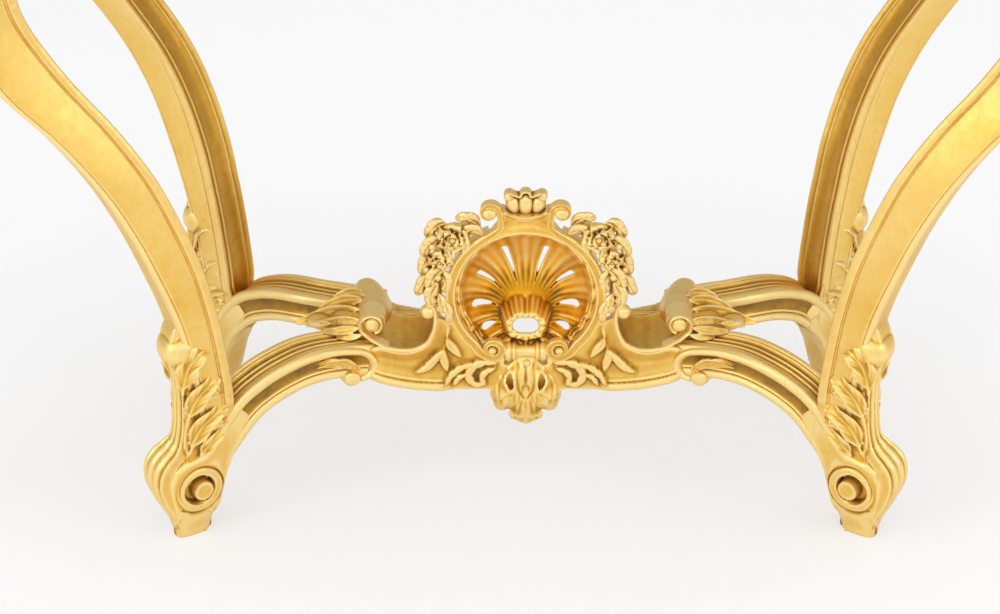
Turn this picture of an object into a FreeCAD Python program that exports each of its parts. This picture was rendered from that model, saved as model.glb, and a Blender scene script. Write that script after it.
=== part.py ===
"""Giltwood console table: carved legs on an arched four-armed stretcher with a pierced shell.

Millimetres, +Z up. The origin lies on the floor at the middle of the plan. +X is the table's
right and the front faces -Y. Corner pieces are drawn in the leg's own frame for the corner at
+X and +Y: r runs outward from the foot's centre, t lies across the leg and z is height.
"""
import FreeCAD, Part
import math
import os
import Sketcher
from FreeCAD import Placement, Rotation, Vector

doc = FreeCAD.newDocument("giltwood_console_table")
sheet = doc.addObject("Spreadsheet::Sheet", "Sizes")

# Driving dimensions
DRIVING = [
    ("top_width", 1240, "marble slab, left to right"),
    ("top_depth", 540, "marble slab, front to back"),
    ("top_thickness", 25, "marble slab"),
    ("top_corner_radius", 60, "rounded corners of the slab"),
    ("top_edge_bevel", 5, "bevel along the slab's upper edge"),
    ("low_edge_bevel", 4, "bevel under the slab's edge"),
    ("overhang_x", 33.3, "slab past the leg blocks, left and right"),
    ("overhang_y", 52.4, "slab past the leg blocks, front and back"),
    ("frame_height", 785, "floor to the underside of the marble"),
    ("rail_depth", 66, "apron rail at its deepest, top to bottom"),
    ("rail_thickness", 25, "apron rail"),
    ("rail_bevel", 4, "bevel along the lower edge of a rail"),
    ("rail_setback", 3, "rail behind the face of the leg block"),
    ("block_size", 60, "square block at the top of a leg"),
    ("block_height", 70, "that block, top to bottom"),
    ("tenon_length", 22, "tenons of the rails and of the stretcher joints"),
    ("tenon_thickness", 9, "those tenons"),
    ("brace_leg", 37, "corner brace along each rail, past the leg block"),
    ("brace_height", 40, "corner brace, top to bottom"),
    ("foot_x", 385, "centre of a foot from the middle, left to right"),
    ("foot_y", 150, "centre of a foot from the middle, front to back"),
    ("splay_angle", 33, "turn of the leg's plane from the table's length, degrees"),
    ("leg_width", 76, "leg at the knee, measured outward"),
    ("leg_thickness", 50, "leg, across its side faces"),
    ("leg_band", 11, "raised band along the inner edge of a leg"),
    ("leg_relief", 2, "height of that band"),
    ("leg_cove", 6, "hollow in the leg's inner face"),
    ("arm_height", 200, "crown of the stretcher above the floor"),
    ("arm_reach", 220, "foot centre to the arm's joint, along the arm"),
    ("arm_bend", 19, "sideways sweep of the arm at its joint"),
    ("arm_width", 50, "stretcher arm, across"),
    ("arm_depth", 41, "stretcher arm, top to bottom"),
    ("foot_scroll_radius", 36, "volute above the foot"),
    ("foot_groove", 3, "grooves round the volute's rim"),
    ("arm_scroll_radius", 18, "scroll that ends an arm"),
    ("bracket_thickness", 36, "leaf bracket between leg and foot"),
    ("leaf_relief", 5, "leaves standing proud of the bracket"),
    ("knob_radius", 21, "ribbed knob at the top of a bracket"),
    ("knob_length", 44, "that knob, across"),
    ("bridge_ease", 2.9, "front face of the bridge past the arm's"),
    ("rim_width", 6, "front rim of the bridge"),
    ("strip_start", 22, "back strip of the bridge, from the middle plane"),
    ("bolster_radius", 23, "volute on the joint, at its widest"),
    ("bolster_inset", 15, "axis of that volute from the joint of arm and bridge"),
    ("bolster_length", 122, "that volute, front to back"),
    ("bolster_lift", 12, "axis of that volute above its seat"),
    ("junction_leaf_length", 80, "acanthus leaf on the fork of the arms"),
    ("junction_leaf_width", 52, "that leaf, across"),
    ("junction_leaf_height", 25, "that leaf at its root"),
    ("rolled_edge_radius", 3.4, "rolled edge along the bridge's front rim"),
    ("ball_radius", 9, "ball that ends the rolled edge"),
    ("cartouche_setback", 2, "front of the cartouche frame behind the bridge's"),
    ("frame_half_width", 90, "cartouche frame, middle to outside"),
    ("frame_half_height", 93, "cartouche frame, middle to top"),
    ("frame_face", 11, "face of the cartouche frame"),
    ("frame_depth", 20, "cartouche frame, front to back"),
    ("shell_root_drop", 42, "centre of the shell's root below the cartouche's"),
    ("shell_wall", 5, "wall of the shell"),
    ("shell_depth", 42, "depth of the shell's bowl"),
    ("shell_flute", 2.6, "height of the shell's flutes"),
    ("shell_hole", 15, "half width of the hole at the shell's root"),
    ("slot_width", 9, "slots between the flutes"),
    ("spool_length", 46, "turned spool between the lower scrolls"),
    ("spool_radius", 12, "that spool"),
    ("lower_scroll_radius", 12, "scrolls beside the spool"),
    ("upper_scroll_radius", 13, "scrolls at the top of the frame"),
    ("crest_width", 48, "three-lobed crest"),
    ("crest_height", 44, "that crest, above the frame"),
    ("garland_thickness", 12, "garlands beside the frame"),
    ("rose_radius", 16, "rose in a garland"),
    ("pendant_width", 84, "pendant leaf under the cartouche"),
    ("pendant_height", 88, "that leaf, top to tip"),
    ("pendant_thickness", 14, "that leaf"),
    ("arm_tenon_width", 28, "loose tenon between arm and bridge, front to back"),
    ("leg_tenon_thickness", 7, "loose tenon through arm and bracket into the leg"),
    ("leg_tenon_width", 22, "that tenon, across the leg"),
    ("leg_tenon_length", 78, "that tenon, upright"),
    ("peg_side", 5, "square pegs in the cartouche"),
    ("peg_length", 24, "those pegs"),
    ("spool_tenon_radius", 4, "round tenons at the ends of the spool"),
    ("spool_tenon_length", 7, "those tenons"),
    ("fit_gap", 0.15, "clearance round tenons and between curved seats"),
    ("overrun", 5, "how far a cutting form passes what it cuts"),
]
for row, (alias, value, note) in enumerate(DRIVING, start=1):
    sheet.set("A%d" % row, note)
    sheet.set("B%d" % row, str(value))
    sheet.setAlias("B%d" % row, alias)
# Sizes that follow from those above
DERIVED = [
    ("leg_height", "=frame_height - block_height", "floor to the underside of the leg block"),
    ("block_x", "=top_width / 2 - overhang_x - block_size / 2", "block centre"),
    ("block_y", "=top_depth / 2 - overhang_y - block_size / 2", "block centre"),
    ("run_x", "=block_x - foot_x", "leg block outward from the foot, along the table"),
    ("run_y", "=block_y - foot_y", "leg block outward from the foot, across the table"),
    ("leg_top_run", "=run_x * cos(splay_angle) + run_y * sin(splay_angle)", "that run in the leg's plane"),
    ("leg_twist", "=run_x * sin(splay_angle) - run_y * cos(splay_angle)", "that run across the leg's plane"),
    ("leg_spread", "=leg_top_run - leg_width * 0.44", "outward run of the leg's inner edge"),
    ("joint_x", "=foot_x - arm_reach * cos(splay_angle) - arm_bend * sin(splay_angle)", "joint of arm and bridge"),
    ("joint_y", "=foot_y - arm_reach * sin(splay_angle) + arm_bend * cos(splay_angle)", "that joint's middle"),
    ("bridge_front", "=joint_y + arm_width / 2 + bridge_ease", "front face of the bridge"),
    ("rail_inset", "=rail_setback + rail_thickness / 2", "middle of a rail behind the block's face"),
]
for row, (alias, formula, note) in enumerate(DERIVED, start=len(DRIVING) + 1):
    sheet.set("A%d" % row, note)
    sheet.set("B%d" % row, formula)
    sheet.setAlias("B%d" % row, alias)
doc.recompute()


def size(alias):
    """One driving dimension as a plain number."""
    return float(sheet.get(alias))


SPLAY = math.radians(size("splay_angle"))
FOOT_X = size("foot_x")
FOOT_Y = size("foot_y")
OVERRUN = size("overrun")
FIT = size("fit_gap")
ORIGIN = Vector(0, 0, 0)
ALONG = Vector(1, 0, 0)
ACROSS = Vector(0, 1, 0)
UP = Vector(0, 0, 1)
CORNERS = [
    ("front_left", -1, -1),
    ("front_right", 1, -1),
    ("back_left", -1, 1),
    ("back_right", 1, 1),
]
SIDES = [("left", -1), ("right", 1)]
PIECES = []


# Helpers for wires and solids
def path_wire(runs):
    """Closed wire from a chain of runs: two points make a line and three an arc."""
    edges = []
    for run in runs:
        if len(run) == 2:
            edges.append(Part.LineSegment(run[0], run[1]).toShape())
        else:
            edges.append(Part.Arc(run[0], run[1], run[2]).toShape())
    return Part.Wire(edges)


def lines(points):
    """Chain of straight runs through points."""
    return [[here, there] for here, there in zip(points, points[1:])]


def arcs(points):
    """Chain of arcs, each through three points, that share their ends."""
    return [points[index:index + 3] for index in range(0, len(points) - 2, 2)]


def polygon(points):
    """Closed straight-edged wire."""
    return Part.makePolygon(points + points[:1])


def prism(wire, reach):
    """Solid made by moving a closed flat wire along a vector."""
    return Part.Face(wire).extrude(reach)


def scaled(shares, run, height):
    """Outline shares turned into sizes."""
    return [(a * run, b * height) for a, b in shares]


def upright(points, across):
    """Points of a side view, at one distance across."""
    return [Vector(a, across, z) for a, z in points]


def plate(points, start, end):
    """Straight-edged side view as a plate between two distances across."""
    return prism(polygon(upright(points, start)), ACROSS * (end - start))


def curved_plate(runs, start, end):
    """Side view of straight and smooth runs as a plate."""
    wire = path_wire([upright(run, start) for run in runs])
    return prism(wire, ACROSS * (end - start))


def disc(radius, a, z, start, end):
    """Cylinder with its axis across."""
    return Part.makeCylinder(radius, end - start, Vector(a, start, z), ACROSS)


def flat_faces(ring, following):
    """Flat faces between two rings of corners: four-sided where level, else two triangles."""
    faces = []
    count = len(ring)
    for index in range(count):
        here, beside = ring[index], ring[(index + 1) % count]
        above, far = following[index], following[(index + 1) % count]
        normal = (beside - here).cross(above - here)
        if abs(normal.dot(far - here)) < normal.Length * FIT / 1000:
            faces.append(Part.Face(polygon([here, beside, far, above])))
        else:
            faces.append(Part.Face(polygon([here, beside, far])))
            faces.append(Part.Face(polygon([here, far, above])))
    return faces


def solid_of(faces):
    """Solid inside a closed set of faces."""
    skin = Part.makeShell(faces)
    skin.sewShape()
    solid = Part.makeSolid(skin)
    if solid.Volume < 0:
        solid.reverse()
    return solid


def stacked(rings):
    """Solid with flat faces through rings of corners, closed at both ends."""
    faces = [Part.Face(polygon(rings[0])), Part.Face(polygon(rings[-1]))]
    for ring, following in zip(rings, rings[1:]):
        faces += flat_faces(ring, following)
    return solid_of(faces)


def turned(profile, a, z, sides):
    """Many-sided turned form with its axis across, from radius and distance pairs."""
    rings = []
    for radius, across in profile:
        corners = []
        for side in range(sides):
            turn = 2 * math.pi * (side + 0.5) / sides
            corners.append(Vector(a + radius * math.cos(turn), across, z + radius * math.sin(turn)))
        rings.append(corners)
    return stacked(rings)


def box(x_range, y_range, z_range, grow=0):
    """Box between pairs of limits, grown on every side by a clearance."""
    low = Vector(x_range[0] - grow, y_range[0] - grow, z_range[0] - grow)
    high = Vector(x_range[1] + grow, y_range[1] + grow, z_range[1] + grow)
    return Part.makeBox(high.x - low.x, high.y - low.y, high.z - low.z, low)


def around(middle, width):
    """Pair of limits at equal distances from a middle."""
    return (middle - width / 2, middle + width / 2)


def one_solid(shape):
    """Largest solid of a boolean result."""
    return max(shape.removeSplitter().Solids, key=lambda solid: solid.Volume)


def corner_placement(side_x, side_y):
    """Place of a piece drawn in the leg's own frame."""
    turn = math.degrees(math.atan2(side_y * math.sin(SPLAY), side_x * math.cos(SPLAY)))
    return Placement(Vector(side_x * FOOT_X, side_y * FOOT_Y, 0), Rotation(UP, turn))


LEG_PLACE = corner_placement(1, 1)


def in_leg_frame(shape):
    """Copy of a shape at +X and +Y, seen from the leg's frame."""
    seen = shape.copy()
    seen.Placement = LEG_PLACE.inverse().multiply(seen.Placement)
    return seen


def quarter(shape, side_x, side_y):
    """Shape at +X and +Y, moved to another quarter of the table."""
    if side_x < 0:
        shape = shape.mirror(ORIGIN, ALONG)
    if side_y < 0:
        shape = shape.mirror(ORIGIN, ACROSS)
    return shape


def add_piece(label, shape, placement=None):
    """Sub-part with its shape first and its place after."""
    piece = doc.addObject("Part::Feature", label)
    piece.Label = label
    piece.Shape = shape
    if placement is not None:
        piece.Placement = placement
    PIECES.append(piece)
    return piece


def add_corner_pieces(name, shape):
    """The same piece at the four corners, mirrored where the hand changes."""
    other_hand = shape.mirror(ORIGIN, ACROSS)
    for corner, side_x, side_y in CORNERS:
        drawn = shape if side_x * side_y > 0 else other_hand
        add_piece(name + "_" + corner, drawn, corner_placement(side_x, side_y))


# Stretcher arms with their feet, in the leg's frame
ARM_REACH = size("arm_reach")
ARM_HEIGHT = size("arm_height")
ARM_HALF = size("arm_width") / 2
ARM_DEPTH = size("arm_depth")
# Underside of the arch: r and z shares, and the lean of the section in degrees
ARM_LINE_SHARES = [
    (-0.385, 0.676, 32),
    (-0.477, 0.732, 25),
    (-0.568, 0.765, 17),
    (-0.682, 0.787, 8),
    (-0.795, 0.795, 2),
    (-0.909, 0.793, -2),
    (-1.060, 0.785, -3),
]
# Half section: shares of the half width and of the depth
ARM_SECTION_SHARES = [
    (0.00, 0.04),
    (0.72, 0.00),
    (1.00, 0.09),
    (1.00, 0.25),
    (0.89, 0.33),
    (0.90, 0.66),
    (1.00, 0.73),
    (1.00, 0.92),
    (0.84, 1.00),
    (0.50, 0.93),
    (0.16, 1.00),
    (0.00, 0.95),
]
BEND_START_SHARE = 0.66
BEND_POWER = 1.7
ARM_SCROLL_SHARES = (-0.935, 0.850)
FOOT_INNER_SHARES = [
    (-0.385, 0.676),
    (-0.265, 0.540),
    (-0.182, 0.390),
    (-0.108, 0.190),
    (-0.080, 0.000),
]
FOOT_OUTER_SHARES = [(0.080, 0.000), (0.110, 0.120), (0.160, 0.280)]
FOOT_SCROLL_SHARES = (0.005, 0.355)
# Seat of the bracket, then of the leg, on top of the foot
SEAT_SHARES = [(-0.091, 0.495), (-0.136, 0.590), (-0.209, 0.700), (-0.259, 0.825)]
# Line between the bracket and the leg, upward from the seat
BRACKET_EDGE_SHARES = [
    (-0.209, 0.700),
    (-0.173, 0.900),
    (-0.145, 1.075),
    (-0.100, 1.230),
    (-0.027, 1.340),
    (0.045, 1.450),
]
SEAT = scaled(SEAT_SHARES, ARM_REACH, ARM_HEIGHT)
BRACKET_EDGE = scaled(BRACKET_EDGE_SHARES, ARM_REACH, ARM_HEIGHT)
FOOT_SCROLL_AT = scaled([FOOT_SCROLL_SHARES], ARM_REACH, ARM_HEIGHT)[0]
WIDE = 2 * size("arm_width")


def arm_sideways(r):
    """Sweep of the arm's middle line across, none until the bend starts."""
    start = BEND_START_SHARE * ARM_REACH
    past = max(0, -r - start) / (ARM_REACH - start)
    return size("arm_bend") * past ** BEND_POWER


def arm_section(r_share, z_share, lean):
    """Moulded section of the arm, square to its underside."""
    r = r_share * ARM_REACH
    z = z_share * ARM_HEIGHT
    turn = math.radians(lean)
    right = scaled(ARM_SECTION_SHARES, ARM_HALF, ARM_DEPTH)
    left = [(-w, d) for w, d in reversed(right[1:-1])]
    middle = arm_sideways(r)
    corners = []
    for across, height in right + left:
        corners.append(Vector(r + height * math.sin(turn), middle + across, z + height * math.cos(turn)))
    return polygon(corners)


# Half of the volute's turned profile: shares of its radius and of half its width
FOOT_SCROLL_PROFILE_SHARES = [
    (0.60, 0.76),
    (0.62, 1.00),
    (0.94, 1.00),
    (1.00, 0.80),
    (1.00, 0.12),
    (0.94, 0.00),
]


def foot_scroll():
    """Volute above the foot, with a hollow eye at each end and a groove round its rim."""
    radius = size("foot_scroll_radius")
    r, z = FOOT_SCROLL_AT
    far = scaled(FOOT_SCROLL_PROFILE_SHARES, radius, ARM_HALF)
    near = [(out, -across) for out, across in far[:-1]]
    return turned(near + list(reversed(far)), r, z, 16)


def foot_solid():
    """Foot block and volute, with the seats of bracket and leg on top."""
    inner = scaled(FOOT_INNER_SHARES, ARM_REACH, ARM_HEIGHT)
    outer = scaled(FOOT_OUTER_SHARES, ARM_REACH, ARM_HEIGHT)
    lean = math.radians(ARM_LINE_SHARES[0][2])
    shoulder = (inner[0][0] + ARM_DEPTH * math.sin(lean), inner[0][1] + ARM_DEPTH * math.cos(lean))
    turns = [outer[-1], FOOT_SCROLL_AT] + SEAT + [shoulder, inner[0]]
    runs = arcs(inner) + [[inner[-1], outer[0]]] + arcs(outer) + lines(turns)
    block = curved_plate(runs, -ARM_HALF, ARM_HALF)
    r, z = FOOT_SCROLL_AT
    room = disc(size("foot_scroll_radius") - size("foot_groove"), r, z, -WIDE, WIDE)
    return block.cut(room).fuse(foot_scroll())


LEG_TENON_SHARES = (-0.195, 0.755)


def leg_tenon(clearance):
    """Upright loose tenon through arm and bracket into the leg, in the leg's frame."""
    r, z = scaled([LEG_TENON_SHARES], ARM_REACH, ARM_HEIGHT)[0]
    r_range = around(r, size("leg_tenon_thickness"))
    t_range = around(0, size("leg_tenon_width"))
    return box(r_range, t_range, around(z, size("leg_tenon_length")), clearance)


ARM_TENON_SHARE = 0.88


def arm_tenon(clearance):
    """Level loose tenon in the joint of arm and bridge, at +X and +Y."""
    end = LEG_PLACE.multVec(Vector(-ARM_REACH, size("arm_bend"), 0))
    x_range = around(size("joint_x"), 2 * size("tenon_length"))
    y_range = around(end.y, size("arm_tenon_width"))
    return box(x_range, y_range, around(ARM_TENON_SHARE * ARM_HEIGHT, size("tenon_thickness")), clearance)


def arm_shape():
    """Whole stretcher arm in the leg's frame."""
    arch = Part.makeLoft([arm_section(*shares) for shares in ARM_LINE_SHARES], True, True)
    r, z = scaled([ARM_SCROLL_SHARES], ARM_REACH, ARM_HEIGHT)[0]
    middle = arm_sideways(r)
    radius = size("arm_scroll_radius")
    scroll = turned([(radius, middle - ARM_HALF), (radius, middle + ARM_HALF)], r, z, 16)
    arm = arch.fuse(foot_solid()).fuse(scroll)
    beyond = box((-size("joint_x"), size("joint_x")), (-2 * WIDE, 2 * WIDE), (0, 2 * ARM_HEIGHT))
    arm = arm.cut(in_leg_frame(beyond)).cut(leg_tenon(FIT))
    return one_solid(arm.cut(in_leg_frame(arm_tenon(FIT))))


# Legs, in the leg's frame
LEG_SPREAD = size("leg_spread")
LEG_HEIGHT = size("leg_height")
LEG_ROOT_SHARE = -0.256
# Turns of the leg's section: shares of its half thickness, then of its width
LEG_HOLLOW_SHARE = 0.55
LEG_BAND_SHARE = 0.72
LEG_OUTER_SHARE = 0.75
LEG_SIDE_SHARE = 0.92
LEG_ROOT = LEG_ROOT_SHARE * ARM_REACH
LEG_BOTTOM = SEAT[1][1]
# Shares of the leg's height over its seat, of its outward run, twist and width
LEG_LINE_SHARES = [
    (0.000, 0.000, 0.00, 0.50),
    (0.138, 0.017, 0.00, 0.56),
    (0.238, 0.056, 0.00, 0.62),
    (0.305, 0.092, 0.00, 0.66),
    (0.389, 0.157, -0.03, 0.73),
    (0.489, 0.264, -0.02, 0.77),
    (0.589, 0.386, 0.13, 0.84),
    (0.690, 0.557, 0.40, 0.91),
    (0.790, 0.765, 0.71, 1.00),
    (0.891, 0.936, 0.94, 0.97),
    (0.958, 1.000, 1.00, 0.88),
    (1.024, 1.000, 1.00, 0.80),
]


def leg_section(height_share, run_share, twist_share, width_share):
    """Level section of the leg: flat sides, raised inner bands, hollow inner face."""
    inner = LEG_ROOT + run_share * (LEG_SPREAD - LEG_ROOT)
    width = width_share * size("leg_width")
    middle = -twist_share * size("leg_twist")
    half = size("leg_thickness") / 2
    side = half - size("leg_relief")
    cove = size("leg_cove")
    band = inner + size("leg_band")
    z = LEG_BOTTOM + height_share * (LEG_HEIGHT - LEG_BOTTOM)
    right = [
        (inner + cove, 0),
        (inner + cove / 2, half * LEG_HOLLOW_SHARE),
        (inner, half * LEG_BAND_SHARE),
        (inner, half),
        (band, half),
        (band, side),
        (inner + width * LEG_SIDE_SHARE, side),
        (inner + width, half * LEG_OUTER_SHARE),
    ]
    left = [(r, -t) for r, t in reversed(right[1:])]
    return polygon([Vector(r, middle + t, z) for r, t in right + left])


BLOCK_X = size("block_x")
BLOCK_Y = size("block_y")
BLOCK_HALF = size("block_size") / 2
BLOCK_INNER_X = BLOCK_X - BLOCK_HALF
BLOCK_INNER_Y = BLOCK_Y - BLOCK_HALF
FRAME_HEIGHT = size("frame_height")


def below_leg():
    """Everything that the foot and the bracket keep from the leg, in the leg's frame."""
    far = ARM_REACH / 2
    low = SEAT[0][1] / 2
    edge = list(reversed(BRACKET_EDGE))
    points = [(far, edge[0][1])] + edge
    points += [SEAT[3], (-far, SEAT[3][1]), (-far, low), (far, low)]
    return plate(points, -WIDE, WIDE)


RAIL_TENON_SHARES = (0.18, 0.78)
TENON_Z = [FRAME_HEIGHT - share * size("rail_depth") for share in reversed(RAIL_TENON_SHARES)]


def leg_mortises():
    """Sockets for the tenons of the two rails, at +X and +Y."""
    thick = size("tenon_thickness")
    length = size("tenon_length")
    inset = size("rail_inset")
    x_range = (BLOCK_INNER_X, BLOCK_INNER_X + length)
    y_range = around(BLOCK_Y + BLOCK_HALF - inset, thick)
    front = box(x_range, y_range, TENON_Z, FIT)
    y_range = (BLOCK_INNER_Y, BLOCK_INNER_Y + length)
    x_range = around(BLOCK_X + BLOCK_HALF - inset, thick)
    return [front, box(x_range, y_range, TENON_Z, FIT)]


def leg_shape():
    """Cabriole leg with its block, seated on the arm and the bracket."""
    leg = Part.makeLoft([leg_section(*shares) for shares in LEG_LINE_SHARES], True, True)
    leg = leg.cut(below_leg()).cut(leg_tenon(FIT))
    spread = (-2 * FOOT_X, 2 * FOOT_X)
    leg = leg.cut(box(spread, spread, (LEG_HEIGHT, 2 * LEG_HEIGHT)))
    x_range = around(BLOCK_X, 2 * BLOCK_HALF)
    y_range = around(BLOCK_Y, 2 * BLOCK_HALF)
    block = box(x_range, y_range, (LEG_HEIGHT, FRAME_HEIGHT))
    for mortise in leg_mortises():
        block = block.cut(mortise)
    return one_solid(leg.fuse(in_leg_frame(block)))


# Leaf bracket between leg and foot, in the leg's frame
STEM_SHARES = [(0.050, 0.500), (0.024, 0.700), (0.003, 0.860), (0.004, 1.020), (0.040, 1.170)]
LEAF_SHARES = [
    [(0.012, 0.64), (-0.100, 0.76), (-0.190, 0.800), (-0.120, 0.62)],
    [(0.004, 0.82), (-0.080, 0.93), (-0.158, 0.990), (-0.110, 0.79)],
    [(0.004, 0.98), (-0.060, 1.09), (-0.124, 1.150), (-0.090, 0.97)],
]
KNOB_SHARES = (-0.008, 1.245)
KNOB_PROFILE_SHARES = [
    (0.50, -1.00),
    (0.88, -0.70),
    (1.00, -0.25),
    (1.00, 0.25),
    (0.88, 0.70),
    (0.50, 1.00),
]


def leg_side():
    """Space of the leg beside the bracket and over the seats, in the leg's frame."""
    far = ARM_REACH / 2
    top = BRACKET_EDGE[-1][1]
    points = list(BRACKET_EDGE) + [(-far, top), (-far, SEAT[0][1]), SEAT[0], SEAT[1]]
    return plate(points, -WIDE, WIDE)


def knob():
    """Many-sided knob at the top of the bracket, turned about the axis across the leg."""
    r, z = scaled([KNOB_SHARES], ARM_REACH, ARM_HEIGHT)[0]
    return turned(scaled(KNOB_PROFILE_SHARES, size("knob_radius"), size("knob_length") / 2), r, z, 16)


def bracket_shape():
    """Stem with three leaves and a knob."""
    half = size("bracket_thickness") / 2
    proud = half + size("leaf_relief")
    stem = scaled(STEM_SHARES, ARM_REACH, ARM_HEIGHT)
    turns = [stem[-1]] + list(reversed(BRACKET_EDGE[:-1])) + [SEAT[1], SEAT[0], stem[0]]
    bracket = curved_plate(arcs(stem) + lines(turns), -half, half)
    for shares in LEAF_SHARES:
        bracket = bracket.fuse(plate(scaled(shares, ARM_REACH, ARM_HEIGHT), -proud, proud))
    bracket = bracket.fuse(knob()).cut(leg_side())
    r, z = FOOT_SCROLL_AT
    bracket = bracket.cut(disc(size("foot_scroll_radius") + FIT, r, z, -WIDE, WIDE))
    return one_solid(bracket.cut(leg_tenon(FIT)))


# Bridge between the arms, at +X
JOINT_X = size("joint_x")
BRIDGE_FRONT = size("bridge_front")
# Side view: shares of the joint's distance and of the stretcher's height
RIM_SHARES = [
    (0.870, 1.000),
    (0.750, 0.976),
    (0.640, 0.990),
    (0.566, 1.060),
    (0.535, 1.200),
]
BOTTOM_SHARES = [(0.480, 0.700), (0.740, 0.735), (1.000, 0.785)]
WALL_SHARES = [(0.535, 1.200), (0.485, 1.170), (0.476, 1.000), (0.430, 0.885), (0.270, 0.860)]
FLOOR_SHARES = [(0.870, 0.900), (0.720, 0.840), (0.600, 0.885), (0.560, 1.000), (0.546, 1.250)]
BRIDGE_TOP_SHARE = 0.86
STRIP_TOP_SHARE = 0.925
STRIP_END_SHARE = 0.79
# Plan view: shares of the joint's distance and of the front's distance
PLAN_BACK_SHARES = [
    (1.000, 0.980),
    (0.800, 0.660),
    (0.580, 0.440),
    (0.460, 0.120),
    (0.300, -0.180),
]
PLAN_FRONT_SHARES = [(0.400, -0.900), (0.700, -1.005), (1.000, -0.970)]
BRIDGE_FLAT_Y = PLAN_FRONT_SHARES[0][1] * BRIDGE_FRONT
BRIDGE_TOP = BRIDGE_TOP_SHARE * ARM_HEIGHT
CENTRE_TENON_SHARES = (-0.55, 0.78)


def trough():
    """Hollow between the front rim and the back strip."""
    floor = scaled(FLOOR_SHARES, JOINT_X, ARM_HEIGHT)
    high = 2 * ARM_HEIGHT
    turns = [floor[-1], (floor[-1][0], high), (floor[0][0], high), floor[0]]
    start = -BRIDGE_FRONT + size("rim_width")
    return curved_plate(arcs(floor) + lines(turns), start, size("strip_start"))


def centre_tenon(clearance):
    """Loose tenon that joins the two halves of the bridge."""
    y, z = scaled([CENTRE_TENON_SHARES], BRIDGE_FRONT, ARM_HEIGHT)[0]
    x_range = around(0, 2 * size("tenon_length"))
    y_range = around(y, size("leg_tenon_width"))
    return box(x_range, y_range, around(z, size("tenon_thickness")), clearance)


def bridge_shape():
    """Right half of the bridge: a swag-shaped band with a trough on top."""
    rim = scaled(RIM_SHARES, JOINT_X, ARM_HEIGHT)
    bottom = scaled(BOTTOM_SHARES, JOINT_X, ARM_HEIGHT)
    wall = scaled(WALL_SHARES, JOINT_X, ARM_HEIGHT)
    low_middle = (0, bottom[0][1])
    outer = lines([bottom[-1], (JOINT_X, ARM_HEIGHT), rim[0]])
    inner = lines(wall + [(0, BRIDGE_TOP), low_middle, bottom[0]])
    side = curved_plate(arcs(bottom) + outer + arcs(rim) + inner, -2 * BRIDGE_FRONT, 2 * BRIDGE_FRONT)
    back = [Vector(x, y, 0) for x, y in scaled(PLAN_BACK_SHARES, JOINT_X, BRIDGE_FRONT)]
    front = [Vector(x, y, 0) for x, y in scaled(PLAN_FRONT_SHARES, JOINT_X, BRIDGE_FRONT)]
    middle = lines([back[-1], Vector(0, back[-1].y, 0), Vector(0, front[0].y, 0), front[0]])
    outline = path_wire(arcs(back) + middle + arcs(front) + lines([front[-1], back[0]]))
    bridge = side.common(prism(outline, UP * (2 * ARM_HEIGHT))).cut(trough())
    x_range = (-OVERRUN, STRIP_END_SHARE * JOINT_X)
    y_range = (size("strip_start"), 2 * BRIDGE_FRONT)
    bridge = bridge.cut(box(x_range, y_range, (STRIP_TOP_SHARE * ARM_HEIGHT, 2 * ARM_HEIGHT)))
    tenon = arm_tenon(FIT)
    bridge = bridge.cut(tenon).cut(quarter(tenon, 1, -1))
    return one_solid(bridge.cut(centre_tenon(FIT)).cut(frame_peg(FIT)))


# Volute with its acanthus leaf on the fork of the arms, at +X
BOLSTER_SHARES = [
    (0.42, -0.50),
    (0.56, -0.47),
    (0.60, -0.38),
    (0.78, -0.30),
    (0.80, -0.18),
    (0.70, -0.10),
    (0.72, 0.02),
    (1.00, 0.14),
    (1.00, 0.28),
    (0.80, 0.36),
    (0.76, 0.46),
]
BOLSTER_X = JOINT_X - size("bolster_inset")
BOLSTER_Z = ARM_HEIGHT + size("bolster_lift")


def bolster_shape():
    """Stepped volute lying front to back, flat where it sits on the bridge."""
    radius = size("bolster_radius")
    length = size("bolster_length")
    bolster = turned(scaled(BOLSTER_SHARES, radius, length), BOLSTER_X, BOLSTER_Z, 16)
    below = box(around(BOLSTER_X, 4 * radius), around(0, 2 * length), (0, ARM_HEIGHT))
    return one_solid(bolster.cut(below))


JUNCTION_LEAF_PLAN_SHARES = [(0.0, 0.36), (0.20, 0.50), (0.48, 0.46), (0.74, 0.28), (1.0, 0.02)]
# Top line of that leaf: shares of its length and of its height at the root
JUNCTION_LEAF_SIDE_SHARES = [(0.0, 1.00), (0.4, 0.56), (1.0, 0.28)]
# Middle groove: shares of the root's height for its half width, its depth and its fall toward the tip
LEAF_GROOVE_SHARES = (0.14, 0.44, 0.70)


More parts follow.
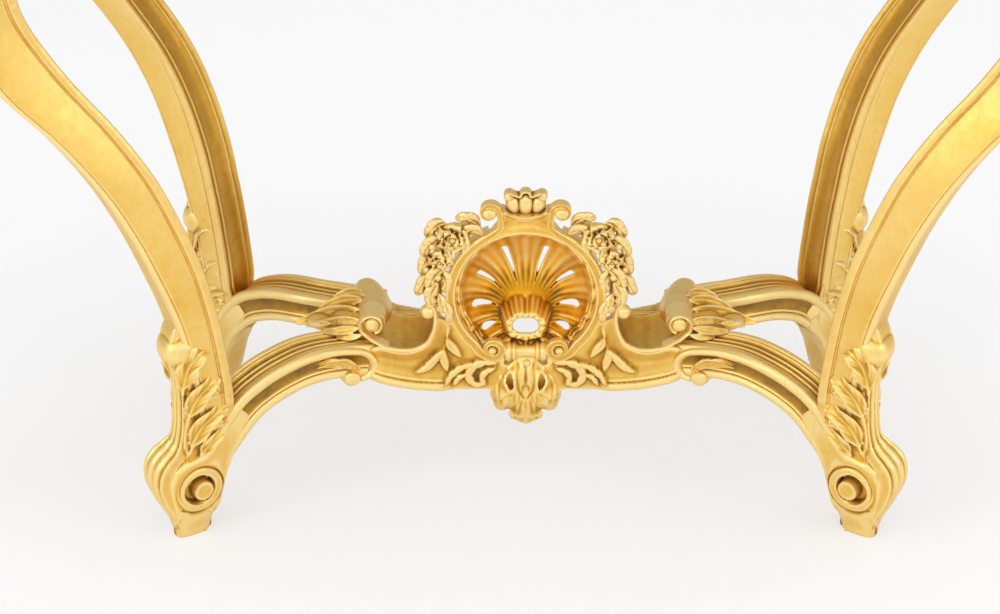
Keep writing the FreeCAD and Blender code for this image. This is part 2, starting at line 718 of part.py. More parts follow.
def junction_leaf_shape():
    """Leaf that lies on the fork of the arms, its root against the volute."""
    length = size("junction_leaf_length")
    width = size("junction_leaf_width")
    height = size("junction_leaf_height")
    start = BOLSTER_X + size("bolster_radius") / 2
    one_side = [Vector(start + a * length, b * width, ARM_HEIGHT) for a, b in JUNCTION_LEAF_PLAN_SHARES]
    other = [Vector(point.x, -point.y, point.z) for point in reversed(one_side)]
    blade = prism(polygon(one_side + other), UP * (2 * height))
    top = [(start + a * length, ARM_HEIGHT + b * height) for a, b in JUNCTION_LEAF_SIDE_SHARES]
    base = [(top[-1][0], ARM_HEIGHT), (start, ARM_HEIGHT)]
    blade = blade.common(plate(top + base, -width, width))
    half, deep, fall = [share * height for share in LEAF_GROOVE_SHARES]
    high = ARM_HEIGHT + height + OVERRUN
    low = ARM_HEIGHT + height - deep
    vee = [Vector(start, -half, high), Vector(start, half, high), Vector(start, 0, low)]
    far = [Vector(point.x + length, point.y, point.z - fall) for point in vee]
    blade = blade.cut(Part.makeLoft([polygon(vee), polygon(far)], True, True))
    room = disc(size("bolster_radius") + FIT, BOLSTER_X, BOLSTER_Z, -2 * width, 2 * width)
    return one_solid(blade.cut(room))


# Rolled edge along the bridge's front rim, with the ball beside the cartouche, at +X
BALL_PLACE_SHARES = (0.45, 0.70)
BALL_PROFILE_SHARES = [(0.40, -0.92), (0.80, -0.60), (1.00, 0.00), (0.80, 0.60), (0.40, 0.92)]


def arc_points(run, across, steps):
    """Points along an arc through three points, from its first to its last."""
    start, middle, end = upright(run, across)
    points = Part.Arc(start, middle, end).toShape().discretize(steps + 1)
    if (points[0] - start).Length > (points[-1] - start).Length:
        points.reverse()
    return points


def rolled_edge_shape():
    """Six-sided bead along the rim, ending in the ball."""
    y = -BRIDGE_FRONT + size("rim_width") / 2
    radius = size("rolled_edge_radius")
    line = []
    for run in arcs(scaled(RIM_SHARES, JOINT_X, ARM_HEIGHT)):
        line = line[:-1] + arc_points(run, y, 6)
    rings = []
    for index, point in enumerate(line):
        along = line[min(index + 1, len(line) - 1)] - line[max(index - 1, 0)]
        along.normalize()
        out = Vector(along.z, 0, -along.x)
        middle = point + out * (radius + FIT)
        corners = []
        for side in range(6):
            turn = math.pi * (side + 0.5) / 3
            corners.append(middle + out * (radius * math.sin(turn)) + ACROSS * (radius * math.cos(turn)))
        rings.append(corners)
    ball = size("ball_radius")
    profile = [(out, y + across) for out, across in scaled(BALL_PROFILE_SHARES, ball, ball)]
    x, z = scaled([BALL_PLACE_SHARES], ball, ball)[0]
    ball_shape = turned(profile, middle.x + x, middle.z + z, 12)
    return one_solid(stacked(rings).fuse(ball_shape))


# Cartouche: frame of two C-scrolls round a pierced shell
HALF_W = size("frame_half_width")
HALF_H = size("frame_half_height")
CENTRE_Z = BRIDGE_TOP + HALF_H
FACE = size("frame_face")
FRAME_FRONT = size("cartouche_setback") - BRIDGE_FRONT
FRAME_BACK = FRAME_FRONT + size("frame_depth")
LOWER_SCROLL_SHARES = (0.40, -0.806)
UPPER_SCROLL_SHARES = (0.43, 1.172)
NECK_SHARES = [
    (0.00, 0.96),
    (0.00, 1.09),
    (0.30, 1.12),
    (0.34, 1.17),
    (0.50, 1.20),
    (0.55, 1.12),
    (0.45, 1.00),
    (0.50, 0.84),
]
PLINTH_SHARES = (0.52, 0.80)


def around_centre(shares):
    """Frame shares as points of the front view."""
    return [(x * HALF_W, CENTRE_Z + z * HALF_H) for x, z in shares]


def oval(half_w, half_h, start, end):
    """Upright oval plate about the middle of the cartouche."""
    right = Vector(half_w, start, CENTRE_Z)
    top = Vector(0, start, CENTRE_Z + half_h)
    middle = Vector(0, start, CENTRE_Z)
    ellipse = Part.Ellipse(right, top, middle) if half_w > half_h else Part.Ellipse(top, right, middle)
    return prism(Part.Wire([ellipse.toShape()]), ACROSS * (end - start))


FRAME_MIDDLE_Y = (FRAME_FRONT + FRAME_BACK) / 2
LOWER_SCROLL_X, LOWER_SCROLL_Z = around_centre([LOWER_SCROLL_SHARES])[0]
UPPER_SCROLL_X, UPPER_SCROLL_Z = around_centre([UPPER_SCROLL_SHARES])[0]


def frame_peg(clearance):
    """Upright peg that stands the frame on the bridge, at +X."""
    x_range = around(LOWER_SCROLL_X, size("peg_side"))
    y_range = around((BRIDGE_FLAT_Y + FRAME_BACK) / 2, size("peg_side"))
    return box(x_range, y_range, around(BRIDGE_TOP, size("peg_length")), clearance)


def crest_peg(clearance):
    """Upright peg through the top of the frame into the crest."""
    side = around(0, size("peg_side"))
    y_range = around(FRAME_MIDDLE_Y, size("peg_side"))
    start = CENTRE_Z + HALF_H - FACE / 2
    return box(side, y_range, (start, start + size("peg_length")), clearance)


def neck_and_volute(grow, start, end):
    """Neck and top volute of the right frame scroll, grown by a clearance."""
    wire = polygon(upright(around_centre(NECK_SHARES), start))
    if grow:
        wire = wire.makeOffset2D(grow, 2)
    radius = size("upper_scroll_radius") + grow
    volute = turned([(radius, start), (radius, end)], UPPER_SCROLL_X, UPPER_SCROLL_Z, 16)
    return prism(wire, ACROSS * (end - start)).fuse(volute)


def frame_scroll_shape():
    """Right C-scroll of the frame, from the spool up and over to its top volute."""
    ring = oval(HALF_W, HALF_H, FRAME_FRONT, FRAME_BACK)
    hollow = oval(HALF_W - FACE, HALF_H - FACE, FRAME_FRONT - OVERRUN, FRAME_BACK + OVERRUN)
    spool_end = size("spool_length") / 2
    radius = size("lower_scroll_radius")
    lower = turned([(radius, FRAME_FRONT), (radius, FRAME_BACK)], LOWER_SCROLL_X, LOWER_SCROLL_Z, 16)
    y_range = (FRAME_FRONT, FRAME_BACK)
    plinth = box((spool_end, 2 * LOWER_SCROLL_X - spool_end), y_range, (BRIDGE_TOP, LOWER_SCROLL_Z))
    scroll = ring.fuse(neck_and_volute(0, FRAME_FRONT, FRAME_BACK)).cut(hollow)
    wide = 4 * HALF_W
    scroll = scroll.cut(box((-wide, 0), (-wide, wide), (0, wide + CENTRE_Z)))
    scroll = scroll.cut(box((-wide, spool_end), (-wide, wide), (0, CENTRE_Z)))
    scroll = scroll.fuse(lower).fuse(plinth).cut(box((-wide, wide), (-wide, wide), (0, BRIDGE_TOP)))
    scroll = scroll.cut(box((-wide, spool_end), (-wide, wide), (0, CENTRE_Z)))
    socket = Part.makeCylinder(
        size("spool_tenon_radius") + FIT,
        size("spool_tenon_length") + FIT,
        Vector(spool_end, FRAME_MIDDLE_Y, LOWER_SCROLL_Z),
        ALONG,
    )
    return one_solid(scroll.cut(socket).cut(crest_peg(FIT)).cut(frame_peg(FIT)))


# Angles of the shell's flutes from upright, ridges and hollows in turn, and the slots
FLUTE_ANGLES = [0, 20, 33, 47, 60, 72, 85, 97, 112, 127, 152, 180]
SLOT_SHARES = [(20, 0.50, 1.00), (47, 0.52, 0.94), (72, 0.50, 0.84), (97, 0.52, 0.72)]
SHELL_STEP_SHARES = [0.0, 0.3, 0.6, 0.85, 1.0]
ROOT_Z = CENTRE_Z - size("shell_root_drop")
HOLE_TALL_SHARE = 0.6
SHELL_FLOOR_SHARE = -0.62
SLOT_ROOT_SHARE = 0.4


def rim_radius(turn):
    """Distance from the shell's root to its rim inside the frame."""
    half_w = HALF_W - FACE - FIT
    half_h = HALF_H - FACE - FIT
    dx = math.sin(turn) / half_w
    dz = math.cos(turn) / half_h
    drop = (ROOT_Z - CENTRE_Z) / half_h
    a = dx * dx + dz * dz
    b = drop * dz
    c = drop * drop - 1
    reach = (-b + math.sqrt(b * b - a * c)) / a
    floor = CENTRE_Z + SHELL_FLOOR_SHARE * HALF_H
    if math.cos(turn) < 0:
        reach = min(reach, (floor - ROOT_Z) / math.cos(turn))
    return reach


def shell_ring(step, behind):
    """One fluted ring of the shell between its root and its rim."""
    angles = [(angle, index % 2) for index, angle in enumerate(FLUTE_ANGLES)]
    angles += [(-angle, hollow) for angle, hollow in reversed(angles[1:-1])]
    hole = size("shell_hole")
    points = []
    for angle, hollow in angles:
        turn = math.radians(angle)
        start = hole * math.sqrt(math.sin(turn) ** 2 + (HOLE_TALL_SHARE * math.cos(turn)) ** 2)
        reach = start + (rim_radius(turn) - start) * step
        flute = size("shell_flute") * (1 if hollow else -1) * min(1, 2 * step)
        bowl = size("shell_depth") * (1 - (reach / rim_radius(0)) ** 2)
        y = FRAME_FRONT + size("shell_wall") + flute + bowl + behind
        points.append(Vector(reach * math.sin(turn), y, ROOT_Z + reach * math.cos(turn)))
    return points


def shell_shape():
    """Fluted scallop shell, pierced by eight slots and by the hole at its root."""
    wall = size("shell_wall")
    front = [shell_ring(step, 0) for step in SHELL_STEP_SHARES]
    back = [shell_ring(step, wall) for step in SHELL_STEP_SHARES]
    rings = front + list(reversed(back))
    faces = []
    for ring, following in zip(rings, rings[1:] + rings[:1]):
        faces += flat_faces(ring, following)
    shell = solid_of(faces)
    for angle, near, far in SLOT_SHARES:
        for side in (-1, 1):
            shell = shell.cut(shell_slot(math.radians(side * angle), near, far))
    return one_solid(shell)


def shell_slot(turn, near, far):
    """Slot that widens outward and ends round, cut straight back."""
    inner = near * HALF_H
    outer = far * HALF_H
    half = size("slot_width") / 2
    root = half * SLOT_ROOT_SHARE
    outline = [(-root, inner), (root, inner), (half, outer), (0, outer + half), (-half, outer)]
    start = FRAME_FRONT - OVERRUN
    slot = plate(outline, start, start + 2 * size("shell_depth"))
    slot.rotate(ORIGIN, ACROSS, math.degrees(turn))
    slot.translate(Vector(0, 0, ROOT_Z))
    return slot


# Crest, garlands and pendant: bevelled outlines of the front view
BEVEL_DEPTH_SHARE = 0.4
CREST_BEVEL_SHARE = 0.8
GARLAND_BEVEL_SHARE = 0.7
PENDANT_BEVEL_SHARE = 0.86
CREST_SHARES = [
    (-0.50, 0.40),
    (-0.50, 0.72),
    (-0.38, 0.88),
    (-0.18, 0.86),
    (-0.12, 1.00),
    (0.12, 1.00),
    (0.18, 0.86),
    (0.38, 0.88),
    (0.50, 0.72),
    (0.50, 0.40),
    (0.30, 0.16),
    (0.30, 0.00),
    (-0.30, 0.00),
    (-0.30, 0.16),
]


def bevelled(points, start, end, share):
    """Plate whose front outline shrinks toward its own middle."""
    middle_a = sum(point[0] for point in points) / len(points)
    middle_z = sum(point[1] for point in points) / len(points)
    small = [(middle_a + (a - middle_a) * share, middle_z + (z - middle_z) * share) for a, z in points]
    step = start + (end - start) * BEVEL_DEPTH_SHARE
    return stacked([upright(small, start), upright(points, step), upright(points, end)])


def crest_shape():
    """Three-lobed crest on a waisted neck, seated on top of the frame."""
    points = scaled(CREST_SHARES, size("crest_width"), size("crest_height"))
    base = CENTRE_Z + HALF_H
    points = [(x, base + z) for x, z in points]
    crest = bevelled(points, FRAME_FRONT, FRAME_BACK, CREST_BEVEL_SHARE)
    crest = crest.cut(oval(HALF_W + FIT, HALF_H + FIT, FRAME_FRONT - OVERRUN, FRAME_BACK + OVERRUN))
    room = neck_and_volute(FIT, FRAME_FRONT - OVERRUN, FRAME_BACK + OVERRUN)
    crest = crest.cut(room).cut(quarter(room, -1, 1))
    return one_solid(crest.cut(crest_peg(FIT)))


GARLAND_LEAF_SHARES = [
    [(0.54, 0.90), (0.60, 1.05), (0.80, 1.07), (0.96, 0.92), (0.78, 0.80), (0.60, 0.74)],
    [(0.84, 0.76), (1.04, 0.90), (1.24, 0.74), (1.27, 0.34), (1.08, 0.30), (0.94, 0.50)],
    [(1.10, 0.46), (1.30, 0.38), (1.34, 0.12), (1.36, -0.02), (1.08, -0.06), (1.02, 0.10)],
]
ROSE_SHARES = (0.88, 0.83)
ROSE_PROFILE_SHARES = [(0.35, -0.75), (0.62, -0.95), (0.80, -0.55), (1.00, -0.35), (1.00, 0.10), (0.70, 0.35)]


def garland_shape():
    """Rose with leaves that run from the top of the frame down to its side."""
    start = FRAME_FRONT + (size("frame_depth") - size("garland_thickness")) / 2
    end = start + size("garland_thickness")
    radius = size("rose_radius")
    x, z = around_centre([ROSE_SHARES])[0]
    profile = [(out, start + across) for out, across in scaled(ROSE_PROFILE_SHARES, radius, radius)]
    garland = turned(profile, x, z, 12)
    for shares in GARLAND_LEAF_SHARES:
        garland = garland.fuse(bevelled(around_centre(shares), start, end, GARLAND_BEVEL_SHARE))
    room = oval(HALF_W + FIT, HALF_H + FIT, -2 * BRIDGE_FRONT, 0)
    garland = garland.cut(room)
    return one_solid(garland.cut(neck_and_volute(FIT, -2 * BRIDGE_FRONT, 0)))


PENDANT_SHARES = [
    (0.00, 0.00),
    (0.10, 0.10),
    (0.24, 0.20),
    (0.22, 0.30),
    (0.40, 0.40),
    (0.36, 0.52),
    (0.50, 0.66),
    (0.42, 0.78),
    (0.46, 0.92),
    (0.24, 1.00),
    (0.00, 0.94),
]
TEARDROP_SHARES = [(0.20, 0.52), (0.26, 0.64), (0.20, 0.74), (0.15, 0.64)]
PENDANT_TOP = CENTRE_Z - HALF_H + FACE
GROOVE_DEPTH_SHARE = 0.3
GROOVE_RUN_SHARE = 0.8


def pendant_shape():
    """Hanging acanthus leaf with a centre groove and two teardrop holes."""
    width = size("pendant_width")
    height = size("pendant_height")
    thick = size("pendant_thickness")
    base = PENDANT_TOP - height
    right = [(x, base + z) for x, z in scaled(PENDANT_SHARES, width, height)]
    left = [(-x, z) for x, z in reversed(right[1:-1])]
    front = BRIDGE_FLAT_Y - thick
    leaf = bevelled(right + left, front, BRIDGE_FLAT_Y, PENDANT_BEVEL_SHARE)
    hole = [(x, base + z) for x, z in scaled(TEARDROP_SHARES, width, height)]
    hole = plate(hole, front - OVERRUN, BRIDGE_FLAT_Y + OVERRUN)
    leaf = leaf.cut(hole).cut(quarter(hole, -1, 1))
    groove = thick * GROOVE_DEPTH_SHARE
    vee = [Vector(-groove, front, base), Vector(groove, front, base), Vector(0, front + groove, base)]
    leaf = leaf.cut(prism(polygon(vee), UP * height * GROOVE_RUN_SHARE))
    leaf = leaf.cut(box((-width, width), (FRAME_FRONT, 0), (BRIDGE_TOP, BRIDGE_TOP + height)))
    length = size("spool_length")
    start = Vector(-length / 2, FRAME_MIDDLE_Y, LOWER_SCROLL_Z)
    return one_solid(leaf.cut(Part.makeCylinder(size("spool_radius") + FIT, length, start, ALONG)))


# Straight work drawn as sketches: slab, rails and braces
def sketch_on(body, name, plane_role):
    """Sketch on one of the body's own origin planes."""
    sketch = body.newObject("Sketcher::SketchObject", name)
    plane = [feature for feature in body.Origin.OriginFeatures if feature.Role == plane_role][0]
    sketch.AttachmentSupport = (plane, "")
    sketch.MapMode = "FlatFace"
    return sketch


def worked_out(text):
    """Present value of an expression of the sheet, read from a spare cell."""
    sheet.set("D1", "=" + text.replace("Sizes.", ""))
    sheet.recompute()
    return float(sheet.get("D1"))


def draw_outline(sketch, corners):
    """Closed outline whose corners are bound to expressions of the sheet."""
    places = [Vector(worked_out(x_text), worked_out(y_text), 0) for x_text, y_text in corners]
    count = len(places)
    for index in range(count):
        sketch.addGeometry(Part.LineSegment(places[index], places[(index + 1) % count]), False)
    for index in range(count):
        sketch.addConstraint(Sketcher.Constraint("Coincident", index, 2, (index + 1) % count, 1))
    for index, texts in enumerate(corners):
        values = (places[index].x, places[index].y)
        for kind, text, value in zip(("DistanceX", "DistanceY"), texts, values):
            number = sketch.addConstraint(Sketcher.Constraint(kind, -1, 1, index, 1, value))
            name = "%s_%d" % (kind, index)
            sketch.renameConstraint(number, name)
            sketch.setExpression("Constraints." + name, text)


def pad_outline(body, name, plane_role, corners, length, centred):
    """Pad of a bound outline, its length bound too."""
    sketch = sketch_on(body, name + "_outline", plane_role)
    draw_outline(sketch, corners)
    pad = body.newObject("PartDesign::Pad", name)
    pad.Profile = sketch
    pad.Midplane = centred
    pad.setExpression("Length", length)
    doc.recompute()
    return pad


def edges_where(shape, wanted):
    """Names of the edges whose two ends and middle all pass a test."""
    names = []
    for number, edge in enumerate(shape.Edges, start=1):
        middle = edge.valueAt((edge.FirstParameter + edge.LastParameter) / 2)
        points = [vertex.Point for vertex in edge.Vertexes] + [middle]
        if all(wanted(point) for point in points):
            names.append("Edge%d" % number)
    return names


def dress_edges(body, kind, name, before, names, size_name, text):
    """Fillet or chamfer on named edges, its size bound to the sheet."""
    dressed = body.newObject("PartDesign::" + kind, name)
    dressed.Base = (before, names)
    dressed.setExpression(size_name, text)
    doc.recompute()
    return dressed


def marble_top():
    """Marble slab with rounded corners and bevelled edges."""
    body = doc.addObject("PartDesign::Body", "marble_top")
    x = "Sizes.top_width / 2"
    y = "Sizes.top_depth / 2"
    corners = [("-" + x, "-" + y), (x, "-" + y), (x, y), ("-" + x, y)]
    slab = pad_outline(body, "slab", "XY_Plane", corners, "Sizes.top_thickness", False)
    half_height = size("top_thickness") / 2
    upright_edges = [
        "Edge%d" % number
        for number, edge in enumerate(slab.Shape.Edges, start=1)
        if abs(edge.Vertexes[0].Z - edge.Vertexes[1].Z) > half_height
    ]
    rounded = dress_edges(body, "Fillet", "round_corners", slab, upright_edges, "Radius", "Sizes.top_corner_radius")
    level = edges_where(rounded.Shape, lambda point: point.z > half_height)
    moulded = dress_edges(body, "Chamfer", "upper_edge", rounded, level, "Size", "Sizes.top_edge_bevel")
    level = edges_where(moulded.Shape, lambda point: point.z < half_height)
    dress_edges(body, "Chamfer", "lower_edge", moulded, level, "Size", "Sizes.low_edge_bevel")
    finish_body(body, "marble_top", Placement(Vector(0, 0, FRAME_HEIGHT), Rotation()))


def finish_body(body, label, placement):
    """Label and place a finished body."""
    body.Label = label
    body.Placement = placement
    PIECES.append(body)


RAIL_BEVEL_SHARE = 0.95
# Lower edge of a rail: shares of its half length and of its depth
RAIL_EDGE_SHARES = [
    (1.00, 1.00),
    (0.90, 0.96),
    (0.80, 0.72),
    (0.66, 0.64),
    (0.30, 0.68),
    (0.16, 0.84),
    (0.06, 1.00),
]


def apron_rail(label, half_length, placement):
    """Rail with a shaped lower edge and a tenon at each end."""
    body = doc.addObject("PartDesign::Body", label)
    top = "Sizes.frame_height"
    one_side = []
    for run, drop in RAIL_EDGE_SHARES:
        low = top + " - Sizes.rail_depth * %g" % drop
        one_side.append(("%g * (%s)" % (run, half_length), low))
    other = [("-" + x, low) for x, low in reversed(one_side)]
    corners = [(half_length, top)] + one_side + other + [("-(%s)" % half_length, top)]
    board = pad_outline(body, label + "_board", "XZ_Plane", corners, "Sizes.rail_thickness", True)
    end = half_length + " + Sizes.tenon_length"
    high = top + " - Sizes.rail_depth * %g" % RAIL_TENON_SHARES[0]
    low = top + " - Sizes.rail_depth * %g" % RAIL_TENON_SHARES[1]
    corners = [("-(%s)" % end, low), (end, low), (end, high), ("-(%s)" % end, high)]
    joined = pad_outline(body, label + "_tenons", "XZ_Plane", corners, "Sizes.tenon_thickness", True)
    half = size("rail_thickness") / 2
    run = worked_out(half_length) * RAIL_BEVEL_SHARE
    level = FRAME_HEIGHT - size("rail_depth") / 2
    lower = edges_where(joined.Shape, lambda p: abs(abs(p.y) - half) < FIT and p.z < level and abs(p.x) < run)
    dress_edges(body, "Chamfer", label + "_bevel", joined, lower, "Size", "Sizes.rail_bevel")
    finish_body(body, label, placement)


def apron_rails():
    """Four rails between the leg blocks."""
    outward = size("rail_inset")
    long_run = "(Sizes.block_x - Sizes.block_size / 2)"
    short_run = "(Sizes.block_y - Sizes.block_size / 2)"
    y = BLOCK_Y + BLOCK_HALF - outward
    x = BLOCK_X + BLOCK_HALF - outward
    apron_rail("apron_rail_front", long_run, Placement(Vector(0, -y, 0), Rotation()))
    apron_rail("apron_rail_back", long_run, Placement(Vector(0, y, 0), Rotation()))
    apron_rail("apron_rail_left", short_run, Placement(Vector(-x, 0, 0), Rotation(UP, 90)))
    apron_rail("apron_rail_right", short_run, Placement(Vector(x, 0, 0), Rotation(UP, 90)))


def corner_brace(corner, side_x, side_y):
    """Glue block behind a leg block, against both rails."""
    body = doc.addObject("PartDesign::Body", "corner_brace_" + corner)
    inner_x = "(Sizes.block_x - Sizes.block_size / 2)"
    inner_y = "(Sizes.block_y - Sizes.block_size / 2)"
    face_x = "(Sizes.block_x + Sizes.block_size / 2 - Sizes.rail_setback - Sizes.rail_thickness)"
    face_y = "(Sizes.block_y + Sizes.block_size / 2 - Sizes.rail_setback - Sizes.rail_thickness)"
    outline = [
        (inner_x + " - Sizes.brace_leg", face_y),
        (inner_x, face_y),
        (inner_x, inner_y),
        (face_x, inner_y),
        (face_x, inner_y + " - Sizes.brace_leg"),
    ]
    corners = [("%d * (%s)" % (side_x, x), "%d * (%s)" % (side_y, y)) for x, y in outline]
    pad_outline(body, "brace_" + corner, "XY_Plane", corners, "Sizes.brace_height", False)
    place = Placement(Vector(0, 0, FRAME_HEIGHT - size("brace_height")), Rotation())
    finish_body(body, "corner_brace_" + corner, place)


# Turned profile of the spool: shares of its length and of its radius
SPOOL_SHARES = [
    (-0.50, 0.80),
    (-0.42, 1.00),
    (-0.30, 0.94),
    (-0.18, 0.62),
    (0.18, 0.62),
    (0.30, 0.94),
    (0.42, 1.00),
    (0.50, 0.80),
]


def cartouche_spool_shape():
    """Spool turned between the lower scrolls, with a round tenon at each end."""
    half = size("spool_length") / 2
    end = half + size("spool_tenon_length")
    thin = size("spool_tenon_radius")
    turning = [(out, run) for run, out in scaled(SPOOL_SHARES, 2 * half, size("spool_radius"))]
    profile = [(thin, -end), (thin, -half)] + turning + [(thin, half), (thin, end)]
    return turned(profile, 0, 0, 16)


# The whole table, piece by piece
marble_top()
apron_rails()
for corner, side_x, side_y in CORNERS:
    corner_brace(corner, side_x, side_y)
add_corner_pieces("leg", leg_shape())
add_corner_pieces("leg_bracket", bracket_shape())
add_corner_pieces("stretcher_arm", arm_shape())
RIGHT_HALF = [
    ("bridge", bridge_shape()),
    ("junction_volute", bolster_shape()),
    ("junction_leaf", junction_leaf_shape()),
    ("rolled_edge", rolled_edge_shape()),
    ("cartouche_scroll", frame_scroll_shape()),
    ("garland", garland_shape()),
]
for side, side_x in SIDES:
    for name, shape in RIGHT_HALF:
        add_piece(name + "_" + side, quarter(shape, side_x, 1))
add_piece("cartouche_shell", shell_shape())
add_piece("cartouche_crest", crest_shape())
add_piece("pendant_leaf", pendant_shape())
spool_place = Placement(Vector(0, FRAME_MIDDLE_Y, LOWER_SCROLL_Z), Rotation(UP, 90))
add_piece("cartouche_spool", cartouche_spool_shape(), spool_place)
leg_tenons = []
for corner, side_x, side_y in CORNERS:
    tenon = leg_tenon(0)
    tenon.Placement = corner_placement(side_x, side_y).multiply(tenon.Placement)
    leg_tenons.append(tenon)
add_piece("leg_tenons", Part.makeCompound(leg_tenons))
arm_tenons = [quarter(arm_tenon(0), side_x, side_y) for corner, side_x, side_y in CORNERS]
add_piece("arm_tenons", Part.makeCompound(arm_tenons))
add_piece("bridge_tenon", centre_tenon(0))
frame_pegs = [quarter(frame_peg(0), side_x, 1) for side, side_x in SIDES]
add_piece("cartouche_pegs", Part.makeCompound(frame_pegs + [crest_peg(0)]))
doc.recompute()

# Checks and export
os.makedirs("parts", exist_ok=True)
for feature in doc.Objects:
    if "Invalid" in feature.State or "Error" in feature.State:
        raise RuntimeError("feature failed: " + feature.Name)
for piece in PIECES:
    if piece.Shape.isNull() or not piece.Shape.isValid():
        raise RuntimeError("bad shape: " + piece.Label)
    piece.Shape.exportStep("parts/%s.step" % piece.Label)
    limits = piece.Shape.BoundBox
    print(piece.Label, len(piece.Shape.Solids), "solids, z %.1f to %.1f" % (limits.ZMin, limits.ZMax))
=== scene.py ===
"""Giltwood console table: carved and gilded pieces over the CAD frame.

Forms are drawn in millimetres. Corner pieces are drawn in the leg's own frame: r runs outward
from the foot's centre, t lies across the leg and z is height. Pieces of the stretcher's middle
are drawn on the right side and mirrored to the left. The front faces -Y.
"""
import math
import bpy
import numpy as np
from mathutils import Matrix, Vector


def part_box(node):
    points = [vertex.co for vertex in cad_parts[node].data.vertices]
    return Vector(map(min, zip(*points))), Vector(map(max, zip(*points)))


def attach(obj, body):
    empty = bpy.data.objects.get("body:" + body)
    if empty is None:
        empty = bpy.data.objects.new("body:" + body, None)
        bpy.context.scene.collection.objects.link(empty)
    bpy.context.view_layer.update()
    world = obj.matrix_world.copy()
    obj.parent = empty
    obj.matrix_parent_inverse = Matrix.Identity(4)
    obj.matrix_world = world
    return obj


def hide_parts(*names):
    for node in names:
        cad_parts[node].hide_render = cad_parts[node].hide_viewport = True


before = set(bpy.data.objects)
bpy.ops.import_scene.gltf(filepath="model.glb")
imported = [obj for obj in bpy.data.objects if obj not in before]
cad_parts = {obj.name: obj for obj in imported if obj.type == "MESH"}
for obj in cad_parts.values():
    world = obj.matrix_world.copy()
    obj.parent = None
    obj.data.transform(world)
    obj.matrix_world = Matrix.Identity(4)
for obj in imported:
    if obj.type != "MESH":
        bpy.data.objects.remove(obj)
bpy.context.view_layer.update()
MM = 0.001

# Driving dimensions, in millimetres: corners of the frame
SPLAY = math.radians(33)
FOOT_X = 385.0
FOOT_Y = 150.0
BLOCK_X = 556.6
BLOCK_Y = 187.5
BLOCK_HALF = 30.0
LEG_TOP = 715.0
FRAME_TOP = 785.0
# Bend of the arms toward the joint
BEND_START = 145.0
BEND_RUN = 75.0
BEND = 19.0
# Front face of the cartouche, and its oval ring with the width of its face
FRONT = -72.0
SCROLL_Y = FRONT + 10
RING_Z = 265.0
RING_HALF_W = 90.0
RING_HALF_H = 93.0
RING_FACE = 11.0
# Top of the strip behind the trough, and front of the ledge behind it
STRIP_TOP = 185.0
STRIP_FRONT = 22.0
# Turned volutes at the junctions, and the eye on their front end
BOLSTER_X = 174.0
BOLSTER_Z = 212.0
EYE = (174.0, 223.0)
# Eyes of the cartouche's volutes
LOWER_EYE = (38.0, 196.5)
UPPER_EYE = (40.0, 374.0)
# Root of the shell's flutes, and its depth
ROOT_Z = 222.0
SHELL_DEPTH = 36.0
X_AXIS = (1, 0, 0)
Y_AXIS = (0, 1, 0)
Z_AXIS = (0, 0, 1)
CORNERS = [
    ("front_left", -1, -1),
    ("front_right", 1, -1),
    ("back_left", -1, 1),
    ("back_right", 1, 1),
]
SIDES = [("left", -1), ("right", 1)]


# Forms: points, four-sided faces and three-sided faces
class Form:
    """Closed mesh in millimetres."""

    def __init__(self, points, quads, tris=None):
        self.points = np.asarray(points, float).reshape(-1, 3)
        self.quads = np.asarray(quads, int).reshape(-1, 4)
        self.tris = np.asarray(tris if tris is not None else [], int).reshape(-1, 3)

    def moved(self, change):
        """Copy whose points are changed by a function."""
        return Form(change(self.points.copy()), self.quads, self.tris)

    def mirrored(self, side_x, side_y):
        """Copy in another quarter of the table."""
        points = self.points * np.array([side_x, side_y, 1])
        if side_x * side_y > 0:
            return Form(points, self.quads, self.tris)
        return Form(points, self.quads[:, ::-1], self.tris[:, ::-1])


def joined(forms):
    """One form out of several."""
    points, quads, tris = [], [], []
    start = 0
    for form in forms:
        points.append(form.points)
        quads.append(form.quads + start)
        tris.append(form.tris + start)
        start += len(form.points)
    return Form(np.vstack(points), np.vstack(quads), np.vstack(tris))


def spline(keys, count):
    """Smooth line through key points, its points evenly spaced."""
    keys = np.asarray(keys, float)
    ends = np.vstack([2 * keys[0] - keys[1], keys, 2 * keys[-1] - keys[-2]])
    t = np.linspace(0, 1, 24, endpoint=False)[:, None]
    dense = []
    for a, b, c, d in zip(ends, ends[1:], ends[2:], ends[3:]):
        cubic = 3 * b - a - 3 * c + d
        square = 2 * a - 5 * b + 4 * c - d
        dense.append(0.5 * (2 * b + (c - a) * t + square * t ** 2 + cubic * t ** 3))
    dense = np.vstack(dense + [keys[-1:]])
    steps = np.linalg.norm(np.diff(dense, axis=0), axis=1)
    run = np.concatenate([[0], np.cumsum(steps)])
    at = np.linspace(0, run[-1], count)
    return np.stack([np.interp(at, run, column) for column in dense.T], axis=1)


def unit(vectors):
    """Vectors of length one."""
    return vectors / np.maximum(np.linalg.norm(vectors, axis=-1, keepdims=True), 1e-9)


def rings_form(rings):
    """Closed form through rings of points, with both ends closed."""
    rings = np.asarray(rings, float)
    rows, cols = rings.shape[:2]
    index = np.arange(rows * cols).reshape(rows, cols)
    beside = np.roll(index, -1, axis=1)
    quads = np.stack([index[:-1], beside[:-1], beside[1:], index[1:]], axis=-1).reshape(-1, 4)
    points = np.vstack([rings.reshape(-1, 3), rings[0].mean(axis=0), rings[-1].mean(axis=0)])
    first, last = rows * cols, rows * cols + 1
    low = np.stack([beside[0], index[0], np.full(cols, first)], axis=-1)
    high = np.stack([index[-1], beside[-1], np.full(cols, last)], axis=-1)
    return outward(Form(points, quads, np.vstack([low, high])))


